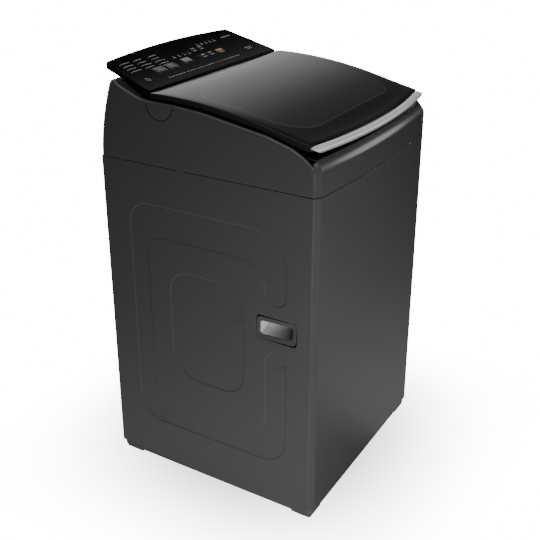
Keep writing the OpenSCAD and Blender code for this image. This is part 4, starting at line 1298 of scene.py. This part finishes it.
def skyGlow(tree, direction, axis, far, near, strength):
    # smooth step of the cosine between the ray and the axis, times the strength
    dot = tree.nodes.new("ShaderNodeVectorMath")
    dot.operation = "DOT_PRODUCT"
    link(tree, direction, dot.inputs[0])
    dot.inputs[1].default_value = Vector(axis).normalized()
    ramp = rampNode(tree, dot.outputs["Value"], math.cos(math.radians(far)), math.cos(math.radians(near)))
    return mathNode(tree, "MULTIPLY", ramp, strength)


def vectorNode(tree, operation, vector):
    # one sum on a vector socket
    node = tree.nodes.new("ShaderNodeVectorMath")
    node.operation = operation
    link(tree, vector, node.inputs[0])
    return node.outputs


def pickByRay(tree, mirrored, seen, strength):
    # what the camera sees, or what every other ray meets, sent to the socket strength
    pick = tree.nodes.new("ShaderNodeMix")
    link(tree, tree.nodes.new("ShaderNodeLightPath").outputs["Is Camera Ray"], pick.inputs[0])
    link(tree, mirrored, pick.inputs[2])
    if isinstance(seen, float):
        pick.inputs[3].default_value = seen
    else:
        link(tree, seen, pick.inputs[3])
    link(tree, pick.outputs[0], strength)


def floorShine(tree):
    # strengths of the floor's glow: painted light for rays that the machine mirrors, and a white floor with a
    # painted shadow for the eye
    place = splitPlace(tree)
    where = tree.nodes.new("ShaderNodeTexCoord").outputs["Object"]
    sides = [mathNode(tree, "ABSOLUTE", place[k]) for k in range(2)]
    # painted shadow: product of two smooth steps across the sides of the machine's footprint
    steps = []
    for side in sides:
        past = mathNode(tree, "SUBTRACT", side, studio["footprint"])
        steps.append(rampNode(tree, past, studio["shadowOut"], studio["shadowIn"]))
    shade = mathNode(tree, "MULTIPLY", *steps)
    # seen: white times e to the power of minus the painted shadow, with painted shade right under the machine
    seen = mathNode(tree, "EXPONENT", mathNode(tree, "MULTIPLY", shade, -studio["shadow"]))
    seen = mathNode(tree, "MULTIPLY", seen, studio["white"])
    under = mathNode(tree, "LESS_THAN", mathNode(tree, "MAXIMUM", *sides), studio["underHalf"])
    clear = mathNode(tree, "SUBTRACT", 1.0, mathNode(tree, "MULTIPLY", under, studio["underShade"]))
    # mirrored: painted light of strength / (1 + (distance / span)^2), a near pool plus a wide one
    away = vectorNode(tree, "LENGTH", where)["Value"]
    glow = 0.0
    for strength, span in studio["floorGlow"]:
        reach = mathNode(tree, "DIVIDE", away, span)
        reach = mathNode(tree, "ADD", 1.0, mathNode(tree, "MULTIPLY", reach, reach))
        glow = mathNode(tree, "ADD", mathNode(tree, "DIVIDE", strength, reach), glow)
    # painted contact shadow: the shade near the base also dims the mirrored glow
    unshaded = mathNode(tree, "SUBTRACT", 1.0, mathNode(tree, "MULTIPLY", shade, studio["contactShadow"]))
    glow = mathNode(tree, "MULTIPLY", glow, unshaded)
    # a painted shade lane darkens the mirrored glow on the floor before the near corner
    aim = vectorNode(tree, "NORMALIZE", where)[0]
    shadeLane = mathNode(tree, "SUBTRACT", 1.0, skyGlow(tree, aim, *studio["shadeLane"]))
    return mathNode(tree, "MULTIPLY", glow, shadeLane), mathNode(tree, "MULTIPLY", seen, clear)


def stage():
    # the eye sees a white floor and backdrop with a soft painted shadow round the base; the machine
    # reflects a floor whose painted glow dims with distance, and a dark room with a few wide soft glows
    mesh = bpy.data.meshes.new("studioFloor")
    mesh.from_pydata([(-30, -30, 0), (30, -30, 0), (30, 30, 0), (-30, 30, 0)], [], [(0, 1, 2, 3)])
    floor = bpy.data.objects.new("studioFloor", mesh)
    bpy.context.scene.collection.objects.link(floor)
    material = bpy.data.materials.new("floorWhite")
    material.use_nodes = True
    tree = material.node_tree
    tree.nodes.remove(tree.nodes["Principled BSDF"])
    shine = tree.nodes.new("ShaderNodeEmission")
    pickByRay(tree, *floorShine(tree), shine.inputs["Strength"])
    link(tree, shine.outputs[0], tree.nodes["Material Output"].inputs["Surface"])
    mesh.materials.append(material)
    world = bpy.data.worlds.new("studioSky")
    bpy.context.scene.world = world
    world.use_nodes = True
    tree = world.node_tree
    direction = tree.nodes.new("ShaderNodeTexCoord").outputs["Generated"]
    total = studio["dark"]
    for glow in studio["glows"]:
        total = mathNode(tree, "ADD", skyGlow(tree, direction, *glow), total)
    background = tree.nodes["Background"]
    pickByRay(tree, total, studio["white"], background.inputs["Strength"])
    background.inputs["Color"].default_value = (1, 1, 1, 1)
    for name, place, aim, size, power, mirrored in studio["boxes"]:
        # area light at place, its -Z turned towards aim
        data = bpy.data.lights.new(name, "AREA")
        data.shape, data.size, data.size_y, data.energy = "RECTANGLE", size[0], size[1], power
        lamp = bpy.data.objects.new(name, data)
        bpy.context.scene.collection.objects.link(lamp)
        lamp.location = place
        lamp.rotation_euler = (Vector(aim) - Vector(place)).to_track_quat("-Z", "Y").to_euler()
        lamp.visible_camera = False
        lamp.visible_glossy = mirrored


stage()


def camera():
    # place = target - turn^T offset, with turn's rows right, up and back for the azimuth and
    # elevation in degrees; the shift is a share of the sensor's width
    view = {"azimuth": -59.169, "elevation": 22.591, "lens": 58.35333, "shift": (0.0000185, -0.0833333),
            "offset": (0.311, -76.234, 2170.242), "target": (0, 0, 500)}
    a, e = math.radians(view["azimuth"]), math.radians(view["elevation"])
    back = np.array([math.sin(a) * math.cos(e), -math.cos(a) * math.cos(e), math.sin(e)])
    right = np.cross(-back, [0, 0, 1])
    right /= np.linalg.norm(right)
    up = np.cross(right, -back)
    turn = np.array([right, up, -back])
    where = (np.array(view["target"]) - turn.T @ np.array(view["offset"])) * mm
    data = bpy.data.cameras.new("camera")
    data.sensor_width, data.lens = 36.0, view["lens"]
    data.shift_x, data.shift_y = view["shift"]
    data.clip_start, data.clip_end = 0.05, 100
    eye = bpy.data.objects.new("camera", data)
    bpy.context.scene.collection.objects.link(eye)
    eye.matrix_world = Matrix([*np.column_stack([right, up, back, where]).tolist(), (0, 0, 0, 1)])
    bpy.context.scene.camera = eye


camera()
